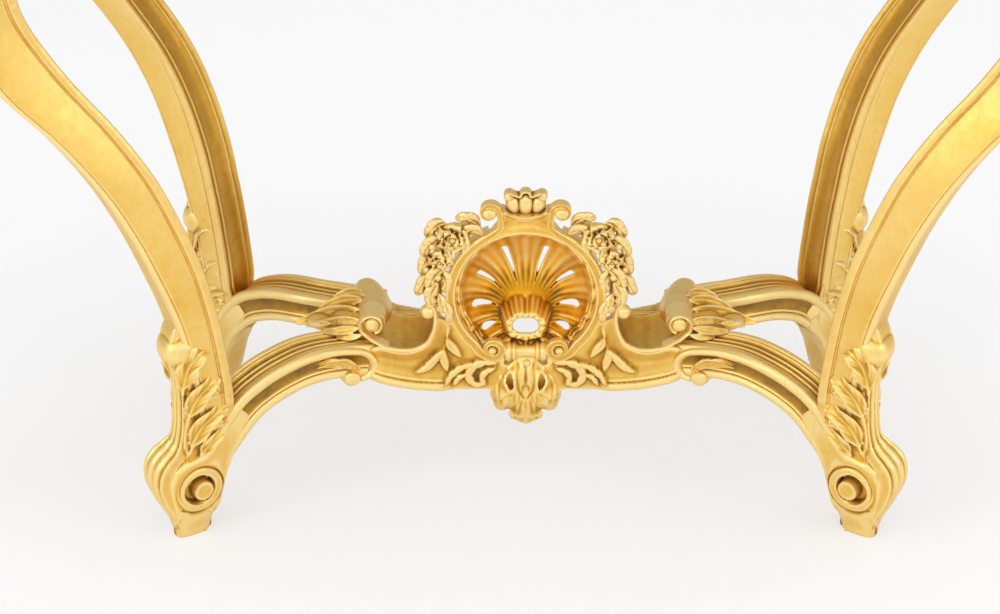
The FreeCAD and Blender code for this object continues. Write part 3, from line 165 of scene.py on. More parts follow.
def outward(form):
    """The same form with its faces turned outward."""
    p = form.points - form.points.mean(axis=0)
    a, b, c, d = (p[form.quads[:, k]] for k in range(4))
    volume = (a * np.cross(b, c)).sum() + (a * np.cross(c, d)).sum()
    if len(form.tris):
        a, b, c = (p[form.tris[:, k]] for k in range(3))
        volume += (a * np.cross(b, c)).sum()
    if volume < 0:
        form.quads = form.quads[:, ::-1]
        form.tris = form.tris[:, ::-1]
    return form


def frames(path, side):
    """Side and outward directions along a path."""
    tangent = unit(np.gradient(path, axis=0))
    side = np.broadcast_to(np.asarray(side, float), path.shape)
    side = unit(side - (side * tangent).sum(axis=1, keepdims=True) * tangent)
    return side, np.cross(side, tangent)


def sweep(path, side, section):
    """Section of side and outward distances carried along a path."""
    path = np.asarray(path, float)
    section = np.asarray(section, float)
    if section.ndim == 2:
        section = np.broadcast_to(section, (len(path),) + section.shape)
    side, out = frames(path, side)
    rings = path[:, None] + section[..., :1] * side[:, None] + section[..., 1:] * out[:, None]
    return rings_form(rings)


def circle(count, radius_a=1.0, radius_b=1.0):
    """Points round an oval."""
    turn = np.linspace(0, 2 * math.pi, count, endpoint=False)
    return np.column_stack([radius_a * np.cos(turn), radius_b * np.sin(turn)])


def bead(path, radius, side, sides):
    """Round bead along a path; the radius may change along it."""
    radius = np.broadcast_to(np.asarray(radius, float), (len(path),))
    section = circle(sides)[None] * radius[:, None, None]
    return sweep(path, side, section)


def lathe(profile, centre, axis, sides):
    """Turned form from radius and distance pairs, about an axis through a centre."""
    profile = np.asarray(profile, float)
    axis = unit(np.asarray(axis, float))
    spare = np.array([0.0, 0.0, 1.0]) if abs(axis[2]) < 0.9 else np.array([1.0, 0.0, 0.0])
    first = unit(np.cross(axis, spare))
    second = np.cross(axis, first)
    turn = circle(sides)
    around = turn[:, :1] * first + turn[:, 1:] * second
    rings = np.asarray(centre, float) + profile[:, 1, None, None] * axis + profile[:, 0, None, None] * around
    return rings_form(rings)


def ball(centre, radii, rows=14, sides=24):
    """Rounded lump with three radii."""
    turn = np.linspace(0.02, math.pi - 0.02, rows)
    profile = np.column_stack([np.sin(turn), -np.cos(turn)])
    form = lathe(profile, (0, 0, 0), Z_AXIS, sides)
    return form.moved(lambda points: points * np.asarray(radii, float) + np.asarray(centre, float))


def spiral(centre, start_radius, end_radius, start_turn, end_turn, count):
    """Spiral of two coordinates about a centre, its turns in degrees."""
    turn = np.radians(np.linspace(start_turn, end_turn, count))
    radius = np.linspace(start_radius, end_radius, count)
    return np.column_stack([centre[0] + radius * np.cos(turn), centre[1] + radius * np.sin(turn)])


def upright(points, y):
    """Points of the front view, set at a distance y."""
    points = np.asarray(points, float)
    return np.column_stack([points[:, 0], np.broadcast_to(y, (len(points),)), points[:, 1]])


def cell_middles(grid):
    """Values of a grid of points at the middles of its cells."""
    return (grid[:-1, :-1] + grid[1:, 1:]) / 2


def leaf(spine, side, width, lobes, notch, cup, thick, start, ripple=1.0, lean=0.16, rows=64, cols=25):
    """Acanthus leaf: lobes point to its tip, with a vein in each and a groove down the middle."""
    u = np.linspace(0, 1, rows)
    v = np.linspace(-1, 1, cols)
    envelope = np.clip(start + (1 - start) * np.sin(math.pi * np.clip(u * 1.25, 0, 0.5)), 0, 1)
    envelope *= np.clip(1 - u, 0, 1) ** 0.42 * 1.02
    phase = u * lobes
    saw = np.abs(2 * (phase % 1) - 1)
    size = (width * (envelope * (1 - notch * saw ** 2.5) + 0.03))[:, None]
    off = np.abs(v)[None]
    ahead = np.clip(u[:, None] + lean * off * (1 - u[:, None]) ** 0.5, 0, 1)
    line = spline(spine, 160)
    at = np.linspace(0, 1, len(line))
    carried = []
    for values in (line,) + frames(line, side):
        carried.append(np.stack([np.interp(ahead, at, column) for column in values.T], axis=-1))
    middle, across, normal = carried
    middle = middle + across * (v[None] * size)[..., None]
    turn = math.pi * (phase[:, None] - 0.5)
    height = cup * size * off ** 2
    height += ripple * off * (0.9 * np.cos(2 * turn) + 0.35 * np.cos(6 * turn))
    height -= 1.1 * ripple * np.exp(-(off / 0.10) ** 2)
    body = 0.5 * thick * np.sqrt(np.clip(1 - 0.93 * off ** 4, 0, 1)) * (1 - 0.6 * u[:, None])
    top = middle + normal * (height + body)[..., None]
    low = middle + normal * (height - body)[..., None]
    return rings_form(np.concatenate([top, low[:, ::-1]], axis=1))


def near(line, x, z):
    """Distance of grid points from a line of straight runs."""
    line = np.asarray(line, float)
    best = np.full(x.shape, 1e9)
    for (ax, az), (bx, bz) in zip(line, line[1:]):
        dx, dz = bx - ax, bz - az
        share = np.clip(((x - ax) * dx + (z - az) * dz) / max(dx * dx + dz * dz, 1e-9), 0, 1)
        best = np.minimum(best, np.hypot(x - ax - share * dx, z - az - share * dz))
    return best


def inside(outline, x, z):
    """Whether grid points lie inside a closed outline."""
    outline = np.asarray(outline, float)
    found = np.zeros(x.shape, bool)
    for (ax, az), (bx, bz) in zip(outline, np.roll(outline, -1, axis=0)):
        crosses = (az > z) != (bz > z)
        level = ax + (z - az) * (bx - ax) / (bz - az if bz != az else 1e-9)
        found ^= crosses & (x < level)
    return found


def sheet_form(front, back, keep):
    """Closed form between two grids of points where its cells are kept."""
    rows, cols = front.shape[:2]
    index = np.arange(rows * cols).reshape(rows, cols)
    keep = np.pad(keep, 1)
    inner = keep[1:-1, 1:-1]
    corner = [index[:-1, :-1], index[1:, :-1], index[1:, 1:], index[:-1, 1:]]
    corner_far = [part + rows * cols for part in corner]
    quads = [np.stack([part[inner] for part in corner], axis=-1)]
    quads.append(np.stack([part[inner] for part in reversed(corner_far)], axis=-1))
    neighbours = [keep[:-2, 1:-1], keep[2:, 1:-1], keep[1:-1, 2:], keep[1:-1, :-2]]
    edges = [(3, 0), (1, 2), (2, 3), (0, 1)]
    for beside, (a, b) in zip(neighbours, edges):
        open_edge = inner & ~beside
        wall = [corner[b], corner[a], corner_far[a], corner_far[b]]
        quads.append(np.stack([part[open_edge] for part in wall], axis=-1))
    points = np.concatenate([front.reshape(-1, 3), back.reshape(-1, 3)])
    quads = np.vstack(quads)
    used = np.unique(quads)
    renumber = np.zeros(len(points), int)
    renumber[used] = np.arange(len(used))
    return outward(Form(points[used], renumber[quads]))


def relief(outline, holes, step, surface, back):
    """Carved panel of the front view: surface and back give y for grid points inside an outline."""
    outline = np.asarray(outline, float)
    low, high = outline.min(axis=0), outline.max(axis=0)
    xs = np.arange(low[0] - step, high[0] + 2 * step, step)
    zs = np.arange(low[1] - step, high[1] + 2 * step, step)
    x, z = np.meshgrid(xs, zs, indexing="ij")
    cells = (cell_middles(x), cell_middles(z))
    keep = inside(outline, *cells)
    for hole in holes:
        keep &= ~inside(hole, *cells)
    front = np.stack([x, surface(x, z), z], axis=-1)
    rear = np.stack([x, np.broadcast_to(back(x, z), x.shape), z], axis=-1)
    return sheet_form(front, rear, keep)


def smooth_step(value):
    """Ease from 0 to 1."""
    value = np.clip(value, 0, 1)
    return value * value * (3 - 2 * value)


def bump(value):
    """Half-round rise over the range -1 to 1."""
    return np.sqrt(np.clip(1 - value ** 2, 0, 1))


# From forms to Blender pieces
SHARP_ANGLE = math.radians(50)


def to_mesh(name, form, scale=1.0):
    """Blender mesh of a form."""
    mesh = bpy.data.meshes.new(name)
    faces = form.quads.tolist() + form.tris.tolist()
    mesh.from_pydata((form.points * scale).tolist(), [], faces)
    mesh.update()
    return mesh


def carved(forms, voxel, passes=2):
    """Overlapping forms fused into one skin, with its edges softened."""
    voxel = voxel * 1.0
    work = bpy.data.objects.new("carving", to_mesh("carving", joined(forms)))
    bpy.context.scene.collection.objects.link(work)
    remesh = work.modifiers.new("voxels", "REMESH")
    remesh.mode = "VOXEL"
    remesh.voxel_size = voxel
    remesh.adaptivity = 0
    if passes:
        soften = work.modifiers.new("soften", "SMOOTH")
        soften.iterations = passes
        soften.factor = 0.5
    depsgraph = bpy.context.evaluated_depsgraph_get()
    mesh = bpy.data.meshes.new_from_object(work.evaluated_get(depsgraph))
    points = np.empty(len(mesh.vertices) * 3)
    mesh.vertices.foreach_get("co", points)
    sides = np.empty(len(mesh.polygons), int)
    mesh.polygons.foreach_get("loop_total", sides)
    loops = np.empty(len(mesh.loops), int)
    mesh.loops.foreach_get("vertex_index", loops)
    starts = np.cumsum(sides) - sides
    quads = loops[starts[sides == 4, None] + np.arange(4)]
    tris = loops[starts[sides == 3, None] + np.arange(3)]
    bpy.data.objects.remove(work)
    bpy.data.meshes.remove(mesh)
    return Form(points.reshape(-1, 3), quads, tris)


def spread(form, values, rounds):
    """Values averaged over neighbours a number of times."""
    pairs = [form.quads[:, [k, (k + 1) % 4]] for k in range(4)]
    pairs += [form.tris[:, [k, (k + 1) % 3]] for k in range(3)]
    pairs = np.vstack(pairs)
    a = pairs.T.reshape(-1)
    b = pairs.T[::-1].reshape(-1)
    count = len(form.points)
    degree = np.maximum(np.bincount(a, minlength=count), 1)[:, None]
    for _ in range(rounds):
        total = [np.bincount(a, weights=column[b], minlength=count) for column in values.T]
        values = np.stack(total, axis=1) / degree
    return values


def sunk_by(form, points, start, normal, distance, edge):
    """Points averaged over a distance, and how far they move outward: less where the mesh is coarse."""
    wanted = 2 * (distance / edge) ** 2
    rounds = max(1, int(round(wanted)))
    level = spread(form, start, rounds)
    return level, ((level - points) * normal).sum(axis=1) * min(1.0, wanted / rounds)


def hollows(form):
    """How hollow the surface is at each point: 0.5 is flat, 1 a deep crevice and 0 a sharp ridge."""
    p = form.points
    normal = np.zeros_like(p)
    for faces in (form.quads, form.tris):
        if len(faces):
            across = np.cross(p[faces[:, 2]] - p[faces[:, 0]], p[faces[:, -1]] - p[faces[:, 1]])
            for column in range(faces.shape[1]):
                for k in range(3):
                    normal[:, k] += np.bincount(faces[:, column], weights=across[:, k], minlength=len(p))
    normal = unit(normal)
    step = p[form.quads[:, 1]] - p[form.quads[:, 0]]
    edge = np.sqrt((step ** 2).sum(axis=1)).mean()
    fine, fine_depth = sunk_by(form, p, p, normal, 1.5, edge)
    broad_depth = sunk_by(form, p, fine, normal, 3.6, edge)[1]
    depth = 0.30 * np.tanh(fine_depth / 0.35) + 0.26 * np.tanh(broad_depth / 1.3)
    return np.clip(0.5 + depth, 0, 1)


def add_piece(name, form, node, material, mark=True, shade=None):
    """Blender object of a form that rides on the table and stands for its CAD node."""
    mesh = to_mesh(name, form, MM)
    mesh.polygons.foreach_set("use_smooth", np.ones(len(mesh.polygons), bool))
    mesh.set_sharp_from_angle(angle=SHARP_ANGLE)
    if mark:
        # Hollow values drive painted highlights on ridges and painted shade in hollows in the gilding; shade
        # adds further painted light by position.
        attribute = mesh.attributes.new("hollow", "FLOAT", "POINT")
        marks = hollows(form) + (shade(form.points) if shade else 0)
        attribute.data.foreach_set("value", np.clip(marks, 0, 1))
    mesh.materials.append(material)
    piece = bpy.data.objects.new(name, mesh)
    bpy.context.scene.collection.objects.link(piece)
    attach(piece, "root")
    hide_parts(node)


def at_corner(form, side_x, side_y):
    """Form of the leg's frame, placed at one corner of the table."""
    def place(points):
        r, t, z = points.T
        x = FOOT_X + r * math.cos(SPLAY) - t * math.sin(SPLAY)
        y = FOOT_Y + r * math.sin(SPLAY) + t * math.cos(SPLAY)
        return np.column_stack([x, y, z])
    return form.moved(place).mirrored(side_x, side_y)


# Materials
class Nodes:
    """Node tree of a material or of the world, with short ways to add to it."""

    def __init__(self, owner):
        owner.use_nodes = True
        self.tree = owner.node_tree

    def put(self, value, socket):
        """Give an input its link, colour or plain value."""
        if isinstance(value, bpy.types.NodeSocket):
            self.tree.links.new(value, socket)
        elif socket.type == "RGBA":
            socket.default_value = tuple(value) + (1,)
        else:
            socket.default_value = value

    def add(self, kind, inputs=None, **settings):
        """Node with its settings and the values of its inputs."""
        made = self.tree.nodes.new(kind)
        for key, value in settings.items():
            setattr(made, key, value)
        for key, value in (inputs or {}).items():
            self.put(value, made.inputs[key])
        return made

    def place(self):
        """Coordinates of the object."""
        return self.add("ShaderNodeTexCoord").outputs["Object"]

    def stretched(self, place, scale):
        """Coordinates stretched by three scales."""
        return self.add("ShaderNodeMapping", {"Vector": place, "Scale": scale}).outputs["Vector"]

    def noise(self, place, scale, detail=4.0, rough=0.55, distortion=0.0):
        """Noise value over coordinates."""
        inputs = {
            "Vector": place, "Scale": scale, "Detail": detail, "Roughness": rough, "Distortion": distortion,
        }
        return self.add("ShaderNodeTexNoise", inputs).outputs["Fac"]

    def ramp(self, value, stops):
        """Colour ramp from pairs of position and colour."""
        made = self.add("ShaderNodeValToRGB", {"Fac": value})
        elements = made.color_ramp.elements
        while len(elements) < len(stops):
            elements.new(0.5)
        for element, (position, colour) in zip(elements, stops):
            element.position = position
            element.color = tuple(colour) + (1,)
        return made.outputs["Color"]

    def mix(self, amount, first, second):
        """Mix of two colours."""
        return self.add("ShaderNodeMix", {0: amount, 6: first, 7: second}, data_type="RGBA").outputs[2]

    def math(self, operation, first, second=0.0, clamp=False):
        """Result of an operation on two values."""
        made = self.add("ShaderNodeMath", {0: first, 1: second}, operation=operation, use_clamp=clamp)
        return made.outputs[0]

    def sum(self, first, second):
        """Sum of two values."""
        return self.math("ADD", first, second)

    def less(self, first, second, clamp=False):
        """First value less the second."""
        return self.math("SUBTRACT", first, second, clamp)

    def times(self, first, second, clamp=False):
        """Product of two values."""
        return self.math("MULTIPLY", first, second, clamp)

    def swing(self, value, amount):
        """How far a value is from one half, times an amount."""
        return self.times(self.less(value, 0.5), amount)

    def vein(self, value, sharpness):
        """Thin lines where a noise value passes one half."""
        away = self.math("ABSOLUTE", self.less(value, 0.5))
        return self.less(1.0, self.times(away, sharpness), True)

    def bumps(self, height, strength, distance):
        """Shading normal of a fine relief."""
        inputs = {"Height": height, "Strength": strength, "Distance": distance}
        return self.add("ShaderNodeBump", inputs).outputs["Normal"]


def shader(name):
    """New material with its nodes and the inputs of its principled shader."""
    material = bpy.data.materials.new(name)
    nodes = Nodes(material)
    return material, nodes, nodes.tree.nodes["Principled BSDF"].inputs


def hair_cracks(nodes, place):
    """Thin cracks that show only in patches."""
    inputs = {"Vector": nodes.stretched(place, (1.0, 1.0, 0.35)), "Scale": 34.0}
    cells = nodes.add("ShaderNodeTexVoronoi", inputs, feature="DISTANCE_TO_EDGE").outputs["Distance"]
    crack = nodes.math("LESS_THAN", cells, 0.012)
    patch = nodes.times(nodes.less(nodes.noise(place, 6.0, 2.0), 0.50), 4.0, True)
    return nodes.times(nodes.times(crack, patch), 0.35)


def gilding(name, body, pale, deep, grime_and_painted_shade, grime_and_shade_start):
    """Water gilding: leaf colour with painted highlights on ridges and painted shade in hollows, a near-black
    mix in the deepest hollows that is partly grime and partly painted shade, streaks and fine cracks.
    """
    material, nodes, surface = shader(name)
    place = nodes.place()
    hollow = nodes.add("ShaderNodeAttribute", attribute_name="hollow").outputs["Fac"]
    grain = nodes.noise(place, 120.0, 3.0)
    streak = nodes.noise(nodes.stretched(place, (60.0, 60.0, 9.0)), 3.0, 5.0, 0.6)
    # The hollow values make ridges lighter as painted highlights and hollows darker as painted shade; the
    # noise adds real variation in tone.
    tone = nodes.sum(hollow, nodes.swing(nodes.noise(place, 14.0), 0.22))
    depth = nodes.sum(tone, nodes.sum(nodes.swing(grain, 0.16), nodes.swing(streak, 0.12)))
    darkest_painted_shade = [channel * 0.58 for channel in deep]
    # Ramp from a painted highlight colour on ridges, through the leaf colour, to painted shade in the deepest
    # hollows.
    leaf_colour_with_painted_light = nodes.ramp(depth, [(0.22, pale), (0.50, body), (0.68, deep), (0.97, darkest_painted_shade)])
    # Deepest hollows take a near-black mix that is partly grime and partly painted shade; it also dulls the
    # metal there.
    grime_and_shade_noise = nodes.swing(nodes.noise(place, 46.0, 5.0, 0.65), 0.55)
    amount = nodes.times(nodes.less(nodes.sum(hollow, grime_and_shade_noise), grime_and_shade_start), 5.0, True)
    colour = nodes.mix(nodes.times(amount, 0.85), leaf_colour_with_painted_light, grime_and_painted_shade)
    crack = hair_cracks(nodes, place)
    nodes.put(nodes.mix(crack, colour, [channel * 0.45 for channel in deep]), surface["Base Color"])
    shine = nodes.less(1.0, nodes.times(amount, 0.85))
    nodes.put(nodes.times(shine, 0.82), surface["Metallic"])
    rough = nodes.sum(0.42, nodes.swing(grain, 0.16))
    nodes.put(nodes.sum(rough, nodes.times(amount, 0.3)), surface["Roughness"])
    height = nodes.sum(nodes.times(grain, 0.35), streak)
    height = nodes.less(height, nodes.times(crack, 0.8))
    nodes.put(nodes.bumps(height, 0.10, 0.0012), surface["Normal"])
    return material


def marble():
    """Warm cream marble with grey and rose veins."""
    material, nodes, surface = shader("veined_marble")
    place = nodes.place()
    warp = nodes.add("ShaderNodeTexNoise", {"Vector": place, "Scale": 2.6, "Detail": 5.0}).outputs["Color"]
    shift = nodes.add("ShaderNodeVectorMath", {0: warp, 1: (0.55, 0.55, 0.55)}, operation="MULTIPLY")
    moved = nodes.add("ShaderNodeVectorMath", {0: place, 1: shift.outputs[0]}, operation="ADD").outputs[0]
    ground = nodes.ramp(nodes.noise(moved, 3.2, 8.0, 0.62), [
        (0.30, (0.62, 0.50, 0.40)),
        (0.46, (0.80, 0.72, 0.62)),
        (0.60, (0.86, 0.80, 0.72)),
        (0.78, (0.72, 0.60, 0.52)),
    ])
    grey = nodes.vein(nodes.noise(moved, 4.4, 9.0, 0.55, 0.8), 26.0)
    colour = nodes.mix(nodes.times(grey, 0.7), ground, (0.36, 0.30, 0.28))
    rose = nodes.vein(nodes.noise(moved, 13.0, 6.0, 0.5, 0.5), 60.0)
    nodes.put(nodes.mix(nodes.times(rose, 0.4), colour, (0.55, 0.36, 0.30)), surface["Base Color"])
    nodes.put(nodes.sum(0.16, nodes.times(grey, 0.14)), surface["Roughness"])
    nodes.put(0.3, surface["Coat Weight"])
    return material


def bare_wood(name, light, dark):
    """Plain sawn wood with grain along its length."""
    material, nodes, surface = shader(name)
    stretched = nodes.stretched(nodes.place(), (4.0, 40.0, 40.0))
    rings = nodes.noise(stretched, 2.0, 6.0, 0.6, 0.6)
    fibre = nodes.noise(stretched, 14.0, 4.0, 0.6)
    value = nodes.sum(nodes.times(rings, 0.7), nodes.times(fibre, 0.3))
    nodes.put(nodes.ramp(value, [(0.32, dark), (0.66, light)]), surface["Base Color"])
    nodes.put(nodes.sum(0.55, nodes.times(fibre, 0.25)), surface["Roughness"])
    nodes.put(nodes.bumps(fibre, 0.25, 0.0008), surface["Normal"])
    return material


GOLD = gilding(
    "gilding", body=(0.86, 0.55, 0.12), pale=(0.96, 0.73, 0.30), deep=(0.66, 0.36, 0.05),
    grime_and_painted_shade=(0.10, 0.06, 0.03), grime_and_shade_start=0.88)
# Gilding with darker hollows, whose near-black mix of grime and painted shade starts in shallower hollows;
# used on the crest and garland.
GOLD_DARKER_HOLLOWS = gilding(
    "gilding_darker_hollows", body=(0.83, 0.53, 0.13), pale=(0.94, 0.72, 0.32), deep=(0.56, 0.32, 0.06),
    grime_and_painted_shade=(0.055, 0.05, 0.045), grime_and_shade_start=0.76)
# Shell gilding whose leaf and hollow colours run more orange: painted reflected light inside the bowl.
GOLD_SHELL_PAINTED_REFLECTION = gilding(
    "gilding_shell_painted_reflection", body=(0.86, 0.49, 0.06), pale=(0.97, 0.76, 0.30), deep=(0.68, 0.31, 0.008),
    grime_and_painted_shade=(0.14, 0.08, 0.03), grime_and_shade_start=0.88)
MARBLE = marble()
PINE = bare_wood("sawn_pine", light=(0.72, 0.52, 0.30), dark=(0.50, 0.31, 0.14))
BEECH = bare_wood("sawn_beech", light=(0.66, 0.44, 0.27), dark=(0.46, 0.27, 0.14))


# Legs: height, inner edge, middle line across and width
LEG_LINE = [
    (130, -56.5, 0.0, 39),
    (165, -55.2, 0.0, 41),
    (200, -53.1, 0.0, 42.6),
    (260, -45.9, 0.0, 47),
    (300, -39.0, 0.0, 50),
    (350, -26.9, 1.9, 55.5),
    (410, -6.9, 1.2, 58.5),
    (470, 16.0, -8.0, 63.8),
    (530, 47.9, -24.8, 69.2),
    (590, 87.0, -44.0, 76),
    (650, 119.0, -58.3, 73.7),
    (690, 131.0, -62.0, 66.9),
    (718, 132.0, -62.0, 62),
]
# Half section: distances from the inner edge and from the middle plane
LEG_INNER = [
    (6.5, 0), (6.2, 4), (5.2, 8), (3.6, 11.4), (2.4, 13.0), (1.2, 13.8), (0.9, 14.8), (1.6, 15.7),
    (2.9, 16.6), (2.6, 18.4), (1.3, 20.6), (0.3, 22.4), (0, 23.8), (0.5, 24.8), (1.8, 25.3), (5.5, 25.5),
    (9.0, 25.3), (10.4, 24.9), (11.0, 24.0), (11.3, 23.0), (12.4, 22.9), (13.0, 22.1), (13.8, 22.1),
    (14.4, 22.9), (15.4, 23.1),
]
# Half section by the outer edge: distances inward from it and from the middle plane
LEG_OUTER = [
    (10.0, 23.1), (8.4, 23.1), (7.4, 22.9), (6.8, 22.2), (6.0, 22.2), (5.4, 22.9), (3.0, 22.5),
    (1.2, 20.9), (0.3, 18.0), (0, 13), (0.2, 11), (0.2, 6),
]


# Turned flower: radius and distance from the middle of the block
FLOWER_PROFILE = [
    (0.1, 31.2), (3, 31.2), (5, 30.2), (6.2, 29.2), (7.5, 30.0), (11, 30.6), (14.0, 30.2), (16.5, 28.8),
    (17, 26),
]
# Block of a leg: half width and height
BLOCK_PROFILE = [
    (BLOCK_HALF - 2.5, LEG_TOP), (BLOCK_HALF, LEG_TOP + 2.5), (BLOCK_HALF, LEG_TOP + 9),
    (BLOCK_HALF - 2, LEG_TOP + 11), (BLOCK_HALF - 2, FRAME_TOP - 11), (BLOCK_HALF, FRAME_TOP - 9),
    (BLOCK_HALF, FRAME_TOP),
]
BLOCK_CHAMFER = 1.2


def leg_form():
    """Cabriole leg with raised inner bands and a ridged hollow between them."""
    rings = []
    for z, r, middle, width in spline(LEG_LINE, 190):
        right = LEG_INNER + [(width - a, b) for a, b in LEG_OUTER]
        section = np.array(right + [(a, -b) for a, b in reversed(right[1:])])
        slim = 1 - 0.10 * smooth_step((176 - z) / 14)
        across = middle + section[:, 1] * slim
        rings.append(np.column_stack([r + section[:, 0], across, np.full(len(section), z)]))
    return rings_form(rings)


def flower_block():
    """Square block at the top of a leg, with a turned flower on its two outer faces."""
    rings = []
    for half, z in BLOCK_PROFILE:
        loop = [(half, BLOCK_CHAMFER - half), (half, half - BLOCK_CHAMFER)]
        for _ in range(3):
            loop += [(-b, a) for a, b in loop[-2:]]
        rings.append([(BLOCK_X + a, BLOCK_Y + b, z) for a, b in loop])
    forms = [rings_form(rings)]
    centre = (BLOCK_X, BLOCK_Y, (LEG_TOP + FRAME_TOP) / 2)
    for outward_axis, axis in enumerate((X_AXIS, Y_AXIS)):
        flower = lathe(FLOWER_PROFILE, centre, axis, 72)
        forms.append(flower.moved(lambda points, k=outward_axis: petals(points, k, centre)))
    return joined(forms)


def petals(points, outward_axis, centre):
    """Eight petals pressed into a turned flower."""
    across = 1 - outward_axis
    a = points[:, across] - centre[across]
    b = points[:, 2] - centre[2]
    wave = np.cos(8 * np.arctan2(b, a))
    rise = smooth_step((np.hypot(a, b) - 6) / 4)
    grow = 1 + 0.07 * wave * rise
    points[:, outward_axis] += rise * (0.7 * wave - 0.3)
    points[:, across] = centre[across] + a * grow
    points[:, 2] = centre[2] + b * grow
    return points


# Stretcher arms with their feet: underside of the arch from the floor to the joint
ARM_LINE = [
    (-17.6, 0), (-23.8, 38), (-40, 78), (-58.3, 108), (-84.7, 135.2), (-105, 146.4), (-125, 153),
    (-150, 157.4), (-175, 159), (-200, 158.6), (-216, 157.8), (-231, 157),
]
# Half section of the arm: distances across and above the underside
ARM_SIDE = [
    (0, 2.6), (14, 1.6), (20.0, 0.6), (22.4, 0.4), (24.4, 1.6), (25, 3.6), (25, 6.0), (24.2, 8.4),
    (22.6, 9.8), (21.4, 10.2), (21.3, 11.0), (22.4, 11.6), (23.1, 12.8), (22.8, 14.0), (21.6, 14.8),
    (20.6, 16.4), (19.8, 19.4), (19.7, 22.4), (20.3, 25.4), (21.6, 28.0), (22.2, 28.5), (23.0, 28.9),
    (24.4, 30.6), (25, 33.0), (24.9, 35.6), (23.6, 38.6), (21.4, 40.5), (19.0, 41), (17.0, 40.5),
    (15.8, 39.4), (15.2, 38.6), (14.2, 38.8), (13.2, 39.6), (12.2, 39.4), (11.4, 38.2), (10.0, 36.4),
    (8.4, 35.6), (6.6, 35.8), (5.6, 36.6), (4.8, 37.9), (3.8, 38.2), (2.9, 37.6), (2.0, 36.6), (0, 36.2),
]


def sideways(r):
    """Sweep of the arm's middle line across."""
    return BEND * (np.clip(-r - BEND_START, 0, None) / BEND_RUN) ** 1.7


def bent(points):
    """Points of the arm's end, moved across with its bend."""
    points[:, 1] += sideways(points[:, 0])
    return points


def arch_form():
    """Moulded arch from the foot to the joint."""
    line = spline(ARM_LINE, 170)
    path = upright(line, 0)
    right = np.array(ARM_SIDE)
    left = right[1:-1][::-1] * np.array([-1, 1])
    section = np.vstack([right, left])
    sections = []
    for z in line[:, 1]:
        deep = 0.26 + 0.74 * smooth_step((z - 20) / 120)
        broad = 0.40 + 0.60 * smooth_step((z - 36) / 84)
        sections.append(section * np.array([broad, deep]))
    return sweep(path, Y_AXIS, sections).moved(bent)


# Side view of the foot about the eye of its volute
FOOT_CENTRE = (-6.0, 70.0)
VOLUTE_RADIUS = 30.0
FOOT_OUTLINE = [
    (18, 0), (21, 24), (25, 46), (29, 68), (29, 88), (22, 101), (10, 107), (-4, 109), (-18, 112),
    (-33, 126), (-48, 149), (-60, 161), (-76, 142), (-57, 112), (-42, 80), (-30, 38), (-27, 0), (0, 0),
]


def foot_form():
    """Foot with a spiral volute on each side: a polar relief about the volute's eye."""
    share = np.linspace(0, 1, 12, endpoint=False)[:, None]
    outline = np.array(FOOT_OUTLINE, float)
    runs = zip(outline, np.roll(outline, -1, axis=0))
    offset = np.vstack([here + (there - here) * share for here, there in runs]) - FOOT_CENTRE
    angle = np.arctan2(offset[:, 1], offset[:, 0])
    order = np.argsort(angle)
    length = np.hypot(offset[:, 0], offset[:, 1])
    turns = np.linspace(-math.pi, math.pi, 150, endpoint=False)
    reach = np.interp(turns, angle[order], length[order], period=2 * math.pi)
    share = np.linspace(0.01, 1, 34)[:, None]
    beyond = VOLUTE_RADIUS + (share - 0.75) / 0.25 * (reach - VOLUTE_RADIUS)
    radius = np.where(share < 0.75, share / 0.75 * VOLUTE_RADIUS, beyond)
    r = FOOT_CENTRE[0] + radius * np.cos(turns)
    z = FOOT_CENTRE[1] + radius * np.sin(turns)
    height = volute_face(radius, turns, r, z) - 2.2 * (1 - smooth_step((reach - radius) / 2.5))
    face = np.stack([r, height, z], axis=-1)
    wall = np.stack([face[-1] * [1, level, 1] for level in (0.55, 0, -0.55)])
    return rings_form(np.concatenate([face, wall, face[::-1] * [1, -1, 1]]))


def volute_face(radius, turns, r, z):
    """Half thickness of the foot: a band that winds round a sunk eye into its button, and a thin base."""
    swing = (np.degrees(turns) + 40) % 360
    eye_r, eye_z = FOOT_CENTRE
    sunk = np.hypot(r - (eye_r + 1.0), z - eye_z)
    button = np.hypot(r - (eye_r - 4.0), z - (eye_z - 3.0))
    line = 25.5 + swing / 360 * 6
    base = 23.4 + 1.8 * smooth_step((29 - radius) / 2.0)
    base -= 10.5 * smooth_step((19.0 - sunk) / 1.6)
    base += 11.0 * smooth_step((12.8 - button) / 1.2)
    base -= 2.0 * np.exp(-((radius - line) / 1.2) ** 2) * smooth_step((swing - 5) / 50)
    slim = 0.44 + 0.56 * smooth_step((z + 6) / 54)
    ends = bump(np.clip((r + 3.5) / 20.5, -1, 1)) ** 0.5
    return base * slim * np.where(z < 44, ends + (1 - ends) * smooth_step(z / 44), 1)


# Ribs of the foot and stem, in side view
STRAP_LINE = [
    (13, 4), (17, 24), (24, 46), (32, 66), (36, 84), (33, 100), (25, 110), (15, 117), (7, 127), (2.5, 142),
    (0.0, 165), (-1.0, 190), (0.0, 210), (4.0, 228), (10, 242), (13, 256),
]


def strap_form():
    """Three ribs that wrap the volute's outer side and climb the stem."""
    line = spline(STRAP_LINE, 120)
    path = upright(line, 0)
    share = np.linspace(-1, 1, 41)
    ribs = np.abs(np.sin(share * math.pi * 1.5)) ** 0.55
    sections = []
    for z in line[:, 1]:
        half = 13.5 + 8.5 * smooth_step((135 - z) / 30) - 11.5 * smooth_step((56 - z) / 52)
        rise = 4.6 if z > 125 else 5.4 * smooth_step((z - 4) / 50) + 0.3
        crown = 2.0 * (1 - share ** 2)
        top = np.column_stack([share * half, ribs * rise + crown])
        low = np.array([(half * 0.96, -9), (-half * 0.96, -9)])
        sections.append(np.vstack([top, low]))
    return sweep(path, Y_AXIS, sections)


